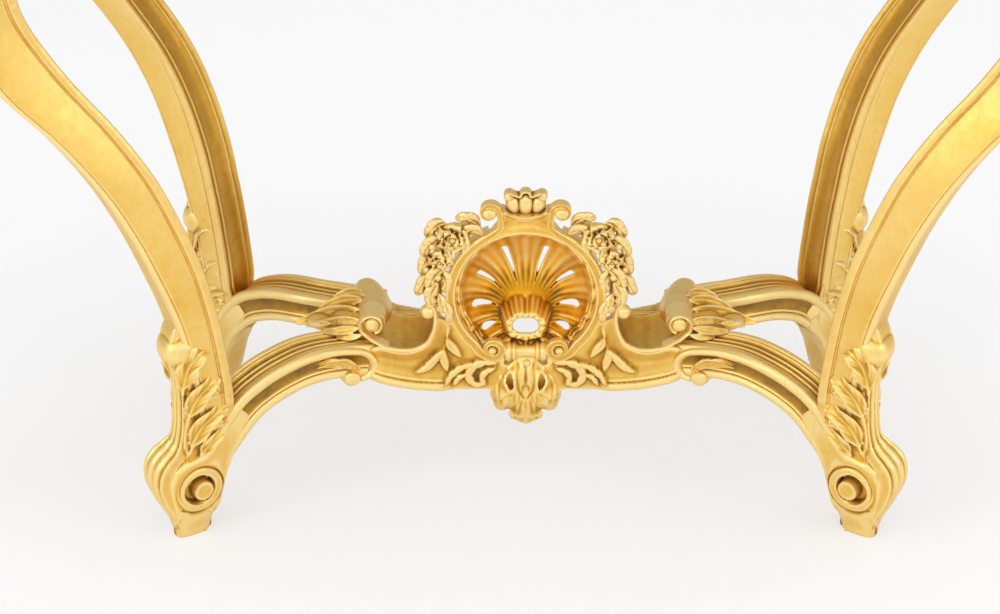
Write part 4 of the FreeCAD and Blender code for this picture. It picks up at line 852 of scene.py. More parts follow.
# Scroll at the outer end of an arm: its eye and the bead that leads to it
ARM_CURL = (-206.0, 171.0)
ARM_BEAD = [(-122, 187.4), (-140, 190.8), (-155, 192.6), (-170, 193.6), (-184, 194.0), (-196, 193.4)]


def curl_forms():
    """Scroll at the end of an arm: its bead rolls over into a button, with a small leaf in the bend."""
    over = spiral(ARM_CURL, 21.5, 17.5, 84, 180, 12)
    under = spiral(ARM_CURL, 17.2, 14.5, 190, 262, 9)
    path = spline(np.vstack([ARM_BEAD, over[1:], under]), 130)
    share = np.linspace(0, 1, len(path))
    across = np.interp(share, [0, 0.35, 0.6, 1], [5.4, 6.4, 8.4, 8.6])
    thick = np.interp(share, [0, 0.35, 0.7, 1], [5.2, 5.4, 5.0, 4.6])
    centre = np.interp(share, [0, 0.35, 0.6, 1], [20.0, 20.5, 21.0, 21.0])
    oval = circle(22)
    sides = centre[:, None] + oval[:, 0] * across[:, None]
    sections = np.stack([sides, oval[:, 1] * thick[:, None]], axis=-1)
    band = sweep(upright(path, 0), Y_AXIS, sections)
    profile = [(0.5, 10), (8.6, 10), (9.0, 28), (8.2, 30.4), (5.0, 31.4), (0.5, 31.8)]
    button = lathe(profile, (ARM_CURL[0] + 8.0, 0, ARM_CURL[1] - 12.0), Y_AXIS, 40)
    spine = [(-160, 22.0, 181), (-176, 25.0, 183.5), (-190, 27, 182.0), (-201, 28, 175), (-205, 27, 165)]
    small = leaf(
        spine, (0, 0.30, 0.95), 9.0, lobes=3, notch=0.22, cup=-0.3, thick=7, ripple=0.8, rows=60, start=0.3)
    profile = [(0.5, 4), (17, 4), (17, 17), (12, 18.6), (0.5, 19.5)]
    field = lathe(profile, (ARM_CURL[0], 0, ARM_CURL[1]), Y_AXIS, 48)
    return [form.moved(bent) for form in (band, button, small, field)]


# Leaf bracket between leg and foot
BRACKET_CORE = [
    (12, 98), (6, 140), (0, 172), (0, 204), (6, 234), (14, 258), (4, 282), (-10, 262), (-24, 240),
    (-33, 212), (-40, 180), (-48, 140), (-34, 112), (-12, 92),
]
# Leaves of the bracket: side view of the spine, half width
BRACKET_LEAVES = [
    ([(4, 188), (2, 212), (-3, 232), (-13, 245), (-26, 249)], 14.0),
    ([(4, 150), (-3, 172), (-12, 190), (-25, 203), (-38, 209)], 12.0),
    ([(3, 108), (-4, 132), (-15, 151), (-30, 163), (-45, 168)], 12.0),
    ([(-6, 100), (-17, 118), (-29, 131), (-43, 137)], 8.5),
    ([(-14, 178), (-25, 187), (-34, 189), (-41, 184)], 6.0),
    ([(-17, 138), (-28, 147), (-37, 150), (-45, 147)], 6.0),
]


def filled(outline, depths, domes):
    """Plate with softened edges: the outline drawn in toward its middle and raised in steps."""
    line = spline(np.vstack([outline, outline[:1]]), 90)[:-1]
    middle = line.mean(axis=0)
    rings = []
    for share, depth in zip(domes, depths):
        rings.append(upright(middle + (line - middle) * share, depth))
    return rings_form(rings)


def bracket_forms():
    """Stem, leaves on both sides and the rolled knob; leaves on the outer side are flatter and narrower."""
    forms = [filled(BRACKET_CORE, [-17, -16.4, -13, 13, 16.4, 17], [0.5, 0.9, 1, 1, 0.9, 0.5]), strap_form()]
    for number, (line, width) in enumerate(BRACKET_LEAVES):
        lobes, notch = (3, 0.26) if number == 0 else (2, 0.12)
        lift = np.interp(np.linspace(0, 1, len(line)), [0, 0.3, 0.75, 1], [15.0, 19.0, 25.0, 20.5])
        for side, flatter, narrower in ((-1, 0.86, 0.85), (1, 1.0, 1.0)):
            spine = [(r, side * t, z) for (r, z), t in zip(line, lift * flatter)]
            across = (0.72, -side * 0.34, 0.60)
            forms.append(leaf(
                spine, across, width * narrower, lobes=lobes, notch=notch, cup=-0.36 * side, thick=6.5,
                ripple=0.8, lean=0.42, cols=27, start=1.0))
    return forms + [knob_form()]


def knob_form():
    """Rolled knob over the stem with ridges by its ends."""
    profile = [
        (0.5, -25), (7, -24.6), (12, -22.8), (15.4, -20), (16.8, -18), (16.4, -17), (18.9, -14.6),
        (18.4, -13.6), (20.6, -11), (22, -5), (22.3, 0), (22, 5), (21.2, 10), (19.2, 15), (16.0, 19.2),
        (11.6, 22.6), (6, 24.6), (0.5, 25),
    ]
    return lathe(spline(profile, 90), (-1.8, 0, 249), Y_AXIS, 72)


# Junction volutes and leaves
BOLSTER_PROFILE = [
    (1, -50), (9, -50), (12.4, -46), (14.4, -40), (17.0, -34), (18.6, -28), (20, -20), (20.5, -10),
    (20.4, 0), (19.8, 10), (18.8, 18), (17.8, 26), (16.4, 33), (14.2, 39), (10.5, 43.5), (5, 46),
    (1, 46.5),
]


def lifted(points):
    """Roll with its front part raised toward its eye and its back end moved outward."""
    points[:, 2] += (EYE[1] - BOLSTER_Z) * smooth_step((-points[:, 1] - 2) / 48)
    points[:, 0] += 11 * smooth_step((points[:, 1] + 10) / 58)
    return points


def junction_volute_forms():
    """Roll lying front to back, with a spiral and a button on its front end."""
    roll = lathe(spline(BOLSTER_PROFILE, 150), (BOLSTER_X, 0, BOLSTER_Z), Y_AXIS, 96).moved(lifted)
    eye = (EYE[0], 0, EYE[1])
    disc = lathe([(1, -34), (15.0, -34), (15.6, -50), (14.4, -53.5), (11, -54.2), (1, -54)], eye, Y_AXIS, 64)
    band = spiral(EYE, 10.0, 14.6, 250, -60, 60)
    band = spline(np.vstack([band[::4], [(175.5, 206.5), (166, 202.6), (156, 198.6)]]), 90)
    forward = np.interp(np.linspace(0, 1, len(band)), [0, 0.72, 0.95, 1], [-57, -58.5, -66, -66])
    rim = sweep(upright(band, forward), Y_AXIS, circle(14, 8.5, 2.9))
    profile = [(1, -46), (8.2, -46), (8.6, -60), (7.8, -63.0), (4.6, -64.8), (0.6, -65.2)]
    return [roll, disc, rim, lathe(profile, eye, Y_AXIS, 40)]


# Fingers of the junction leaf: spine from the volute to a tip in the fork, half width
JUNCTION_FINGERS = [
    ([(178, -8, 229), (195, 3, 227), (211, 8, 220), (224, 8, 210)], 8.5),
    ([(178, -21, 229), (198, -11, 226), (219, -5, 218), (238, -3, 206)], 8.5),
    ([(180, -31, 225), (202, -24, 221), (228, -15, 211), (250, -9, 199), (264, -6, 192)], 8.5),
    ([(182, -40, 218), (203, -37, 214), (225, -31, 207), (245, -22, 199)], 7.5),
    ([(184, -47, 211), (201, -47, 208), (217, -44, 204), (231, -37, 200)], 6.5),
    ([(183, -52, 205), (195, -53, 202), (206, -51, 200), (215, -46, 199)], 5.0),
    ([(214, -19, 216), (229, -10, 211), (242, -6, 204), (252, -6, 197)], 5.0),
    ([(216, -36, 209), (229, -30, 206), (241, -24, 201), (252, -16, 195)], 5.0),
]


def junction_leaf_forms():
    """Acanthus leaf that drops from the volute into the fork: overlapping fingers over a swelling body."""
    forms = [ball((196, -20, 210), (26, 28, 14)), ball((224, -16, 202), (27, 19, 10))]
    for line, width in JUNCTION_FINGERS:
        forms.append(leaf(
            line, (0, 0.55, 0.84), width, lobes=1, notch=0, cup=-0.42, thick=9.5, ripple=0.6, lean=0.22,
            rows=70, start=0.5))
    return forms


# Bridge between the arms
RIM_LINE = [
    (200, 186), (186, 191), (173, 196.5), (162, 198.5), (152, 196.8), (142, 195), (131, 195.3),
    (121.6, 198), (113, 203.5), (107.5, 212), (103, 225), (101.6, 240),
]
BOTTOM_LINE = [
    (0, 140), (40, 140), (91, 140), (115, 142.5), (140.6, 147), (168, 152.5), (190, 157), (204, 160),
]
FLOOR_LINE = [
    (204, 186), (190, 185), (165, 181), (150, 176), (137, 172), (124, 173.5), (114, 181), (107, 196),
    (104.5, 215), (103, 240),
]
PLAN_BACK = [
    (0, -14), (57, -14), (70, -6), (87, 9), (98, 22), (110, 32.6), (130, 41), (152, 49), (172, 60),
    (190, 72), (204, 72),
]
PLAN_FRONT = [
    (0, -66.6), (76, -66.6), (92, -69.5), (133, -74), (162, -72.6), (176, -67), (190, -58), (204, -50),
]
LAURELS = [
    [(95, 195), (103, 184), (112, 174), (125, 167)],
    [(92.5, 196), (93.5, 186), (91.5, 177), (89.5, 167)],
    [(89, 212), (86, 202), (80, 193), (73.5, 184)],
]


def along(line, x):
    """Value of a keyed line at distances x."""
    line = np.array(sorted(tuple(point) for point in line), float)
    return np.interp(x, line[:, 0], line[:, 1])


def plan_front(x):
    """Front face of the bridge in plan."""
    return along(spline(PLAN_FRONT, 400), np.abs(x))


def fascia_surface(x, z):
    """Carved front of the bridge: mouldings along its lower edge, laurel sprig and acanthus curls."""
    bottom = along(spline(BOTTOM_LINE, 300), x)
    rise = z - bottom
    fade = smooth_step((x - 84) / 18)
    height = fade * 3.8 * bump((rise - 5.0) / 5.2)
    height += fade * 1.5 * np.exp(-((rise - 13.4) / 1.5) ** 2)
    height -= fade * 0.7 * np.exp(-((rise - 10.8) / 0.9) ** 2)
    rim = near(spline(RIM_LINE, 90), x, z)
    dish = smooth_step((rise - 14) / 14) * smooth_step((rim - 1) / 13)
    height -= 3.2 * dish * smooth_step((x - 72) / 40)
    height += 2.2 * np.exp(-(rim / 4.4) ** 2)
    for line in LAURELS:
        height = np.maximum(height, laurel(line, x, z))
    height += stems(x, z)
    return plan_front(x) - np.maximum(height, curls(x, z))


def pads(line, widths, x, z, low, rise):
    """Height of round pads that overlap along a line."""
    height = np.full(x.shape, -9.0)
    for (px, pz), half in zip(line, widths):
        away = np.hypot(x - px, z - pz)
        height = np.maximum(height, np.where(away < half, low + rise * bump(away / half) ** 0.8, -9))
    return height


def laurel(line, x, z):
    """Pointed leaf with a midrib, as a height over the front view."""
    line = spline(line, 24)
    widths = 5.2 * np.sin(np.linspace(0.10, math.pi - 0.05, len(line))) ** 0.8
    return pads(line, widths, x, z, 0.8, 3.2) - 0.9 * np.exp(-(near(line, x, z) / 0.7) ** 2)


def stems(x, z):
    """Thin stems that carry the laurel leaves."""
    first = near(spline([(94, 195), (90, 206), (87, 222)], 20), x, z)
    second = near(spline([(92.5, 196), (90, 208), (87, 222)], 20), x, z)
    return 1.4 * np.exp(-(np.minimum(first, second) / 1.3) ** 2)


# Acanthus curls beside the pendant: middle line and its points, half width and notches
CURLS = [
    ([(34, 178), (48, 178), (61, 171), (65, 159), (58, 149), (48, 150)], 46, 5.8, 5),
    ([(36, 170), (45, 166), (50, 158), (47, 149)], 30, 4.6, 3),
    ([(62, 176), (74, 171), (84, 162), (91, 151)], 34, 4.8, 4),
    ([(70, 162), (77, 157), (82, 149)], 24, 3.8, 2),
]


def curls(x, z):
    """C-shaped leaves with notched edges, one inside the other."""
    height = np.full(x.shape, -9.0)
    for keys, count, broad, notches in CURLS:
        line = spline(keys, count)
        share = np.linspace(0, 1, count)
        widths = broad * (0.35 + 0.65 * np.sin(math.pi * np.clip(share, 0.04, 0.96)) ** 0.6)
        widths *= 1 - 0.26 * np.abs(np.cos(math.pi * share * notches)) ** 3
        height = np.maximum(height, pads(line, widths, x, z, 1.8, 4.6))
        height -= 0.8 * np.exp(-(near(line, x, z) / 0.8) ** 2)
    return height


def ring_side(z):
    """Distance of the ring's outer edge from the middle at one height."""
    return RING_HALF_W * math.sqrt(max(0.0, 1 - ((z - RING_Z) / RING_HALF_H) ** 2))


def fascia_form():
    """Front panel of the bridge, right half; it runs in behind the ring."""
    wall = [(ring_side(z) - 5, z) for z in range(224, 174, -5)]
    outline = np.vstack([spline(BOTTOM_LINE, 50), spline(RIM_LINE, 60), wall, [(24, 172), (-1, 172)]])
    return relief(outline, [], 0.9, fascia_surface, lambda x, z: plan_front(x) + 9.0)


def trough(x, y):
    """Floor of the trough, which rises toward its back and its front."""
    back_rise = 14 * (np.clip(y + 22, 0, None) / 44) ** 2.2
    front_rise = 9 * (np.clip(-y - 22, 0, None) / 46) ** 2
    floor = along(spline(FLOOR_LINE, 120), x)
    return floor + back_rise * smooth_step((x - 104) / 12) + front_rise * smooth_step((x - 108) / 12)


def bridge_body():
    """Body of the bridge as a height over its plan, with the trough on top."""
    xs = np.concatenate([np.arange(-1, 84, 3.0), np.arange(84, 118, 1.0), np.arange(118, 202, 1.5)])
    ys = np.arange(-76, 75, 1.2)
    x, y = np.meshgrid(xs, ys, indexing="ij")
    strip = STRIP_TOP + 2.2 * bump((y - 24.6) / 1.9) + 1.6 * bump((y - 29.0) / 1.7)
    strip += (np.clip(x - 150, 0, 40) / 40) * 10 - 1.2 * (y > 26.4) * (y < 27.4)
    top = np.where(y > STRIP_FRONT, strip, np.minimum(trough(x, y), 242))
    solid = along([(0, 171), (51, 171), (74, 176), (84, 186), (89, 196), (94, 208), (99, 216)], x)
    lower = 26 * smooth_step((y + 58) / 34) * smooth_step((solid - 176) / 30)
    top = np.where(x < 101.5, np.minimum(solid - lower, np.where(y > STRIP_FRONT, strip, 300)), top)
    bottom = along(spline(BOTTOM_LINE, 80), x) + 1.5
    middle_x, middle_y = cell_middles(x), cell_middles(y)
    keep = (middle_y < along(spline(PLAN_BACK, 80), middle_x)) & (middle_y > plan_front(middle_x) + 6.5)
    upper = np.stack([x, y, top], axis=-1)
    lower = np.stack([x, y, bottom], axis=-1)
    return sheet_form(upper, lower, keep)


def rolled_edge_forms():
    """Thin rim bead along the trough that ends in a ball beside the cartouche."""
    line = spline(RIM_LINE[2:] + [(104.5, 250), (110, 254), (114.5, 250)], 110)
    radius = np.interp(np.linspace(0, 1, len(line)), [0, 0.08, 0.85, 1], [3.4, 3.0, 2.6, 1.6])
    path = upright(line, -71.5)
    return [bead(path, radius, Y_AXIS, 14), ball((110.5, -70.5, 246.5), (8.6, 8.6, 8.6), 20, 32)]


# Cartouche: two C-scrolls round the shell
def ring_line(start, end, count):
    """Middle line of the frame's face between two angles, in degrees from the right."""
    turn = np.radians(np.linspace(start, end, count))
    half_w = RING_HALF_W - RING_FACE / 2
    half_h = RING_HALF_H - RING_FACE / 2
    return np.column_stack([half_w * np.cos(turn), RING_Z + half_h * np.sin(turn)])


def band_form(path, half, proud, depth):
    """Band whose face has a bead along both edges: half widths, how far it stands forward, and its depths."""
    sections = []
    for width, lift, deep in zip(half, proud, depth):
        front = 10 + lift
        back = front - deep
        edge = [(front - 1.8, 1), (front - 0.3, 0.88), (front, 0.70), (front - 0.5, 0.5), (front - 0.8, 0.2)]
        face = [(back, -1), (back, 1)] + edge + [(a, -b) for a, b in reversed(edge)]
        sections.append([(-a, b * width) for a, b in face])
    return sweep(upright(path, SCROLL_Y), Y_AXIS, sections)


def ring_band():
    """Ring from its top down to the lower volute, in which it rolls up."""
    eye = spiral(LOWER_EYE, 3.4, 9.6, 270, 420, 14)
    roll = spiral(LOWER_EYE, 10.2, 11.8, 436, 625, 18)
    path = spline(np.vstack([eye, roll, [(44.0, 186.6), (51, 191.6)], ring_line(-46, 62, 40)]), 260)
    share = np.linspace(0, 1, len(path))
    half = np.interp(share, [0, 0.07, 0.14, 0.30, 1], [1.6, 3.0, 4.2, 5.5, 5.5])
    proud = np.interp(share, [0, 0.12, 0.26, 1], [4.4, 3.2, 0, 0])
    return band_form(path, half, proud, np.interp(share, [0, 0.24, 0.36, 1], [9, 9, 20, 20]))


def neck_band():
    """Neck that leaves the ring, sweeps up and rolls outward into the top volute."""
    upper = spiral(UPPER_EYE, 11.4, 5.0, 195, -130, 26)
    keys = np.vstack([ring_line(30, 50, 4), [(44.5, 340.0), (34.5, 347.5), (27.5, 356)], upper[1:]])
    path = spline(keys, 170)
    share = np.linspace(0, 1, len(path))
    half = np.interp(share, [0, 0.3, 0.5, 1], [4.6, 4.4, 3.6, 2.6])
    proud = np.interp(share, [0, 0.2, 0.5, 0.8, 1], [-0.6, 0.8, 2.0, 3.0, 3.8])
    return band_form(path, half, proud, np.full(len(path), 12.0))


def volute_eye(eye, radius, wide):
    """Oval button in the middle of a volute."""
    profile = [
        (1, 0), (1.1 * radius, 0), (radius, -13.0), (0.8 * radius, -15.4), (0.4 * radius, -16.4),
        (0.3, -16.8),
    ]
    button = lathe(profile, (0, SCROLL_Y, 0), Y_AXIS, 32)
    return button.moved(lambda points: points * [wide, 1, 1] + [eye[0], 0, eye[1]])


def scroll_forms():
    """Right half of the frame: ring, neck, eyes of the volutes, saddle and plinth."""
    lower = volute_eye(LOWER_EYE, 4.6, 1.0)
    upper = volute_eye(UPPER_EYE, 6.6, 1.25)
    outline = [(24, 170.5), (25, 184), (50, 184), (54, 170.5)]
    plinth = filled(outline, [-66, -64, -54, -52], [0.9, 1, 1, 1])
    return [ring_band(), neck_band(), lower, upper, saddle_form(), plinth]


def saddle_form():
    """Hollow web between the necks, right half: it grows out of the ring and flares forward at the top."""
    columns, rows = 44, 44
    share = np.linspace(0, 1, rows)[None]
    across = np.linspace(-0.12, 1, columns)[:, None]
    width = 42 - 18 * smooth_step(share * 1.5) + 4 * smooth_step((share - 0.72) / 0.28)
    x = across * width
    low = RING_Z + (RING_HALF_H - RING_FACE) * np.sqrt(1 - (x / (RING_HALF_W - RING_FACE)) ** 2)
    high = 371.5 + 5 * (x / 28) ** 2
    z = low + (high - low) * share
    flat = 1 - np.clip(np.abs(across), 0, 1) ** 4
    dish = 6.5 * np.maximum(np.sin(math.pi * share), 0) ** 1.2 * flat
    rim = 0.8 * np.exp(-((share - 0.08) / 0.07) ** 2) + 4.0 * smooth_step((share - 0.70) / 0.30)
    over = 0.9 * smooth_step(-x / 3)
    front = np.stack([x, FRONT + 0.2 + dish - rim + over, z], axis=-1)
    back = np.stack([x, np.full(x.shape, FRONT + 18.0), z], axis=-1)
    return sheet_form(front, back, np.ones((columns - 1, rows - 1), bool))


def spool_form():
    """Turned spool with a bead under it."""
    half = [
        (1, -24), (8.0, -24), (10.2, -22.6), (11.4, -20), (11.4, -17.6), (9.8, -16.2), (9.6, -15.4),
        (10.8, -14), (10.8, -12.2), (9.0, -10.6), (7.8, -8), (7.3, -4), (7.2, 0),
    ]
    profile = half + [(radius, -at) for radius, at in reversed(half[:-1])]
    spool = lathe(spline(profile, 110), (0, FRONT + 8, 190), X_AXIS, 48)
    drop = ball((1.5, FRONT + 1, 178), (4.2, 4.2, 4.6))
    return joined([spool, drop])


# Shell: angle keys where the hollows lie, slots between the ribs
FLUTE_KEYS = [(0, 0.5), (15.5, 1), (45, 2), (75, 3), (101, 4), (126, 5), (152, 6), (180, 6.5)]
SLOTS = [(15.5, 0.33, 0.73), (45, 0.39, 0.71), (75, 0.46, 0.76), (101, 0.60, 0.79)]


def shell_rim(turn):
    """Distance from the shell's root to its rim."""
    half_w = RING_HALF_W - RING_FACE - 0.5
    half_h = RING_HALF_H - RING_FACE - 0.5
    dx = np.sin(turn) / half_w
    dz = np.cos(turn) / half_h
    drop = (ROOT_Z - RING_Z) / half_h
    a = dx * dx + dz * dz
    b = drop * dz
    reach = (-b + np.sqrt(b * b - a * (drop * drop - 1))) / a
    floor = (ROOT_Z - 186) / np.maximum(-np.cos(turn), 1e-3)
    return np.where(np.cos(turn) < 0, np.minimum(reach, floor), reach)


def shell_form():
    """Fluted bowl with a ruffled rim, open slots between its ribs and an oval hole at its root."""
    count = 640
    turn = np.linspace(-math.pi, math.pi, count + 1)
    share = np.linspace(0, 1, 120)
    keys = np.array(FLUTE_KEYS, float)
    phase = np.interp(np.degrees(np.abs(turn)), keys[:, 0], keys[:, 1])
    hole = np.hypot(14.5 * np.sin(turn), 9.8 * np.cos(turn))
    rim = shell_rim(turn)
    reach = hole[:, None] + (rim - hole)[:, None] * share
    x = reach * np.sin(turn)[:, None]
    up = np.cos(turn)[:, None]
    z = ROOT_Z + reach * up
    deep = SHELL_DEPTH * (0.20 + 0.80 * smooth_step((up + 0.75) / 1.35))
    bowl = deep * np.sin(math.pi * share ** 0.74) ** 0.85
    outer = smooth_step((share - 0.84) / 0.10)
    ribs = smooth_step((share - 0.32) / 0.22) * (1 - 0.5 * outer)
    flute = -np.cos(2 * math.pi * phase)[:, None] * 2.9 * ribs
    fine = smooth_step((share - 0.14) / 0.25)
    flute += 0.42 * np.cos(8 * math.pi * phase)[:, None] * fine
    wave = 0.5 - 0.5 * np.cos(2 * math.pi * phase * 2.0 + 0.6)
    crumple = 1.1 * np.sin(23 * turn + 1.3) + 0.9 * np.sin(41 * turn)
    ruffle = outer * (2.6 + 3.4 * wave[:, None] + crumple[:, None])
    ruffle -= smooth_step((share - 0.955) / 0.045) * 7.0
    frill = (3.4 * np.abs(np.sin(3.5 * turn)) ** 0.7 + 0.6 * np.sin(23 * turn))[:, None]
    away = reach - hole[:, None]
    collar = 1 - smooth_step((away - 4.0 - frill) / 9.0)
    crown = 2.6 * bump((away - 5.0) / 6.0) + 1.0 * np.cos(14 * turn)[:, None] * bump((away - 9) / 8)
    y = FRONT + 11.0 + (bowl - flute) * (1 - collar) - ruffle - crown * smooth_step(away / 2)
    front = np.stack([x, y, z], axis=-1)
    normal = unit(np.cross(np.gradient(front, axis=1), np.gradient(front, axis=0)))
    normal *= np.sign(normal[..., 1:2] + 1e-9)
    back = front + normal * (4.2 + 1.6 * outer)[..., None]
    keep = np.ones((count, len(share) - 1), bool)
    cells = (cell_middles(x), cell_middles(z))
    for angle, near_share, far_share in SLOTS:
        for side in (-1, 1):
            keep &= ~slot_cells(*cells, math.radians(side * angle), near_share, far_share)
    return sheet_form(front, back, keep)


def slot_cells(x, z, turn, near_share, far_share):
    """Cells inside one slot, which widens outward and ends round."""
    reach = float(shell_rim(np.array([turn]))[0])
    along_slot = x * math.sin(turn) + (z - ROOT_Z) * math.cos(turn)
    across = x * math.cos(turn) - (z - ROOT_Z) * math.sin(turn)
    start, end = near_share * reach, far_share * reach
    share = np.clip((along_slot - start) / (end - start), 0, 1)
    half = 1.1 + 2.1 * share
    past = np.maximum(np.maximum(start - along_slot, along_slot - end), 0)
    return np.hypot(across, past) < half


def shell_shade(points):
    """Painted shade: deeper leaf colour in the bowl between the collar and the slots; painted light: paler
    leaf toward the rim.
    """
    away = np.hypot(points[:, 0], points[:, 2] - ROOT_Z)
    deeper = 0.20 * smooth_step((away - 22) / 10) * (1 - smooth_step((away - 42) / 30))
    return deeper - 0.15 * smooth_step((away - 48) / 34)


# Crest, garlands and pendant
def crest_forms():
    """Three swelling lobes under a rolled lip with a curl at each end, over a collar."""
    forms = [ball((0, FRONT + 9, 385), (19, 6.5, 12.5))]
    for x, lean, wide, tall in ((0, 0, 10.0, 14), (-14.0, -0.24, 8.4, 12.5), (14.0, 0.24, 8.4, 12.5)):
        lobe = ball((0, 0, 0), (wide, 9.2, tall), 24, 36)
        forms.append(lobe.moved(lambda p, x=x, lean=lean: p @ turn_y(lean) + [x, FRONT + 8, 382.5]))
    curl = [(0.5, -7.2), (2.2, -7.4), (3.0, -6.6), (4.0, -7.0), (5.8, -5), (6.4, 0), (5.6, 6), (0.5, 7)]
    for x in (-18, 18):
        forms.append(lathe(spline(curl, 40), (x, FRONT + 8, 392.5), Y_AXIS, 32))
    lip = [(0, 399.6), (4, 398.2), (6, 393.6), (11.5, 395.2), (17, 398)]
    collar = [(0, 368.5), (14, 370.5), (24, 375.5)]
    for keys, count, half, thick in ((lip, 80, 7.0, 2.3), (collar, 50, 9.5, 2.2)):
        line = spline([(-x, z) for x, z in reversed(keys[1:])] + keys, count)
        forms.append(sweep(upright(line, FRONT + 6), Y_AXIS, circle(14, half, thick)))
    forms.append(ball((0, SCROLL_Y, 366), (15, 7, 10)))
    return forms


def turn_y(angle):
    """Rotation about the Y axis, for row vectors."""
    c, s = math.cos(angle), math.sin(angle)
    return np.array([(c, 0, -s), (0, 1, 0), (s, 0, c)])


# Petals of a rose: how many, reach, half width, depths along them and first turn, as shares of its radius
PETAL_ROWS = [
    (3, 0.40, 0.34, [-0.20, -0.58, -0.76, -0.70], 1.1),
    (3, 0.68, 0.48, [0.10, -0.42, -0.66, -0.50], 0.5),
    (5, 1.04, 0.60, [0.10, -0.34, -0.44, -0.10], 0.0),
]


def rose_form(centre, radius, first_turn):
    """Open rose: a bud with two rings of three petals and five outer petals that curl back."""
    forms = [ball((0, -0.50 * radius, 0), (0.27 * radius, 0.24 * radius, 0.27 * radius))]
    forms.append(ball((0, 1, 0), (0.9 * radius, 0.40 * radius, 0.9 * radius)))
    for count, far, half, depth, shift in PETAL_ROWS:
        for number in range(count):
            turn = first_turn + shift + 2 * math.pi * number / count
            out = np.array([math.cos(turn), math.sin(turn)])
            swirl = np.array([-out[1], out[0]])
            reach = np.array([0.20, 0.55, 0.85, 1.0]) * far * radius
            drift = np.array([0, 0.04, 0.12, 0.24]) * radius
            flat = reach[:, None] * out + drift[:, None] * swirl
            spine = np.column_stack([flat[:, 0], np.array(depth) * radius, flat[:, 1]])
            side = (swirl[0], -0.30, swirl[1])
            forms.append(leaf(
                spine, side, half * radius, lobes=1, notch=0, cup=-0.20, thick=3.8, ripple=0.30, lean=0.1,
                rows=36, cols=17, start=0.8))
    return [form.moved(lambda points: points + np.asarray(centre, float)) for form in forms]


# Leaves of a garland: front view of the spine, its distance y, half width
GARLAND_LEAVES = [
    ([(50, 353), (58, 363), (68, 367), (78, 363)], -64, 7.5),
    ([(47, 346), (54, 353), (62, 355), (70, 351)], -69, 6.5),
    ([(60, 341), (66, 336), (70, 328), (72, 319)], -66, 6.0),
    ([(88, 357), (98, 356), (106, 348), (110, 337)], -62, 8.5),
    ([(92, 340), (103, 336), (111, 327), (113, 315)], -66, 9.0),
    ([(82, 330), (87, 322), (86, 312), (81, 303)], -66, 6.0),
    ([(102, 320), (111, 311), (115, 301), (115, 290)], -64, 8.5),
    ([(92, 303), (101, 297), (106, 287), (107, 275)], -70, 9.0),
    ([(97, 300), (90, 291), (89, 280), (92, 269)], -67, 7.5),
    ([(104, 293), (113, 285), (119, 275), (122, 265)], -65, 8.5),
    ([(98, 285), (105, 275), (107, 264), (104, 253)], -70, 8.5),
    ([(97, 270), (95, 260), (96, 251), (99, 243)], -68, 6.5),
    ([(92, 262), (88, 252), (86, 242), (88, 231)], -70, 6.0),
]


def garland_forms():
    """Rose, a smaller flower and overlapping leaves down the right side of the frame."""
    forms = rose_form((81, -66, 342), 17.5, 0.4) + rose_form((96, -67, 312), 12.5, 1.3)
    for number, (line, y, width) in enumerate(GARLAND_LEAVES):
        lift = [0, -3.5, -4.5, -1.0]
        spine = [(x, y + up, z) for (x, z), up in zip(line, lift)]
        direction = np.array(line[-1], float) - np.array(line[0], float)
        side = unit(np.array([direction[1], 11.0 * math.sin(number * 2.1), -direction[0]]))
        forms.append(leaf(
            spine, side, width * 1.12, lobes=2, notch=0.16, cup=-0.24, thick=5.4, rows=52, cols=23,
            start=0.6))
    stem = [(58, 350), (72, 346), (84, 336), (93, 320), (99, 304), (102, 288), (103, 272), (102, 256)]
    forms.append(bead(upright(spline(stem, 80), -60), 8.6, Y_AXIS, 16))
    berries = [((69, -70, 344), 4.2), ((104, -69, 330), 4.4), ((110, -68, 299), 4.0), ((98, -73, 292), 4.0)]
    for centre, radius in berries:
        forms.append(ball(centre, (radius, radius, radius)))
    return forms


# Right half of the pendant, its veins with their depths, and its hole
PENDANT_HALF = [
    (0, 184), (10, 183), (15, 176), (21, 171), (24, 164), (31, 158), (33, 150), (39, 142), (41, 133),
    (38, 125), (36, 117), (32, 112), (25, 110.5), (21, 113), (17, 112), (20, 106), (17, 100), (9, 97),
    (0, 96.5),
]
PENDANT_LINES = [
    ([(13, 172), (25, 164), (30, 152), (31, 138), (27, 124)], 1.1),
    ([(23, 168), (34, 154), (37, 140), (35, 127)], 0.9),
    ([(12, 150), (17, 141), (24, 137), (28, 130)], 1.0),
    ([(2.5, 150), (5, 130), (8, 112), (13, 101)], 0.9),
    ([(2.5, 152), (9, 132), (15, 118), (22, 112)], 0.8),
    ([(0, 150), (0, 130), (0, 112), (0, 98)], 0.7),
    ([(9, 176), (10, 160), (8, 146), (2, 136)], 1.6),
]
TEARDROP = [(17.5, 166), (21.5, 160), (22.5, 154), (19, 148), (15.5, 146), (14, 151), (14.5, 158)]


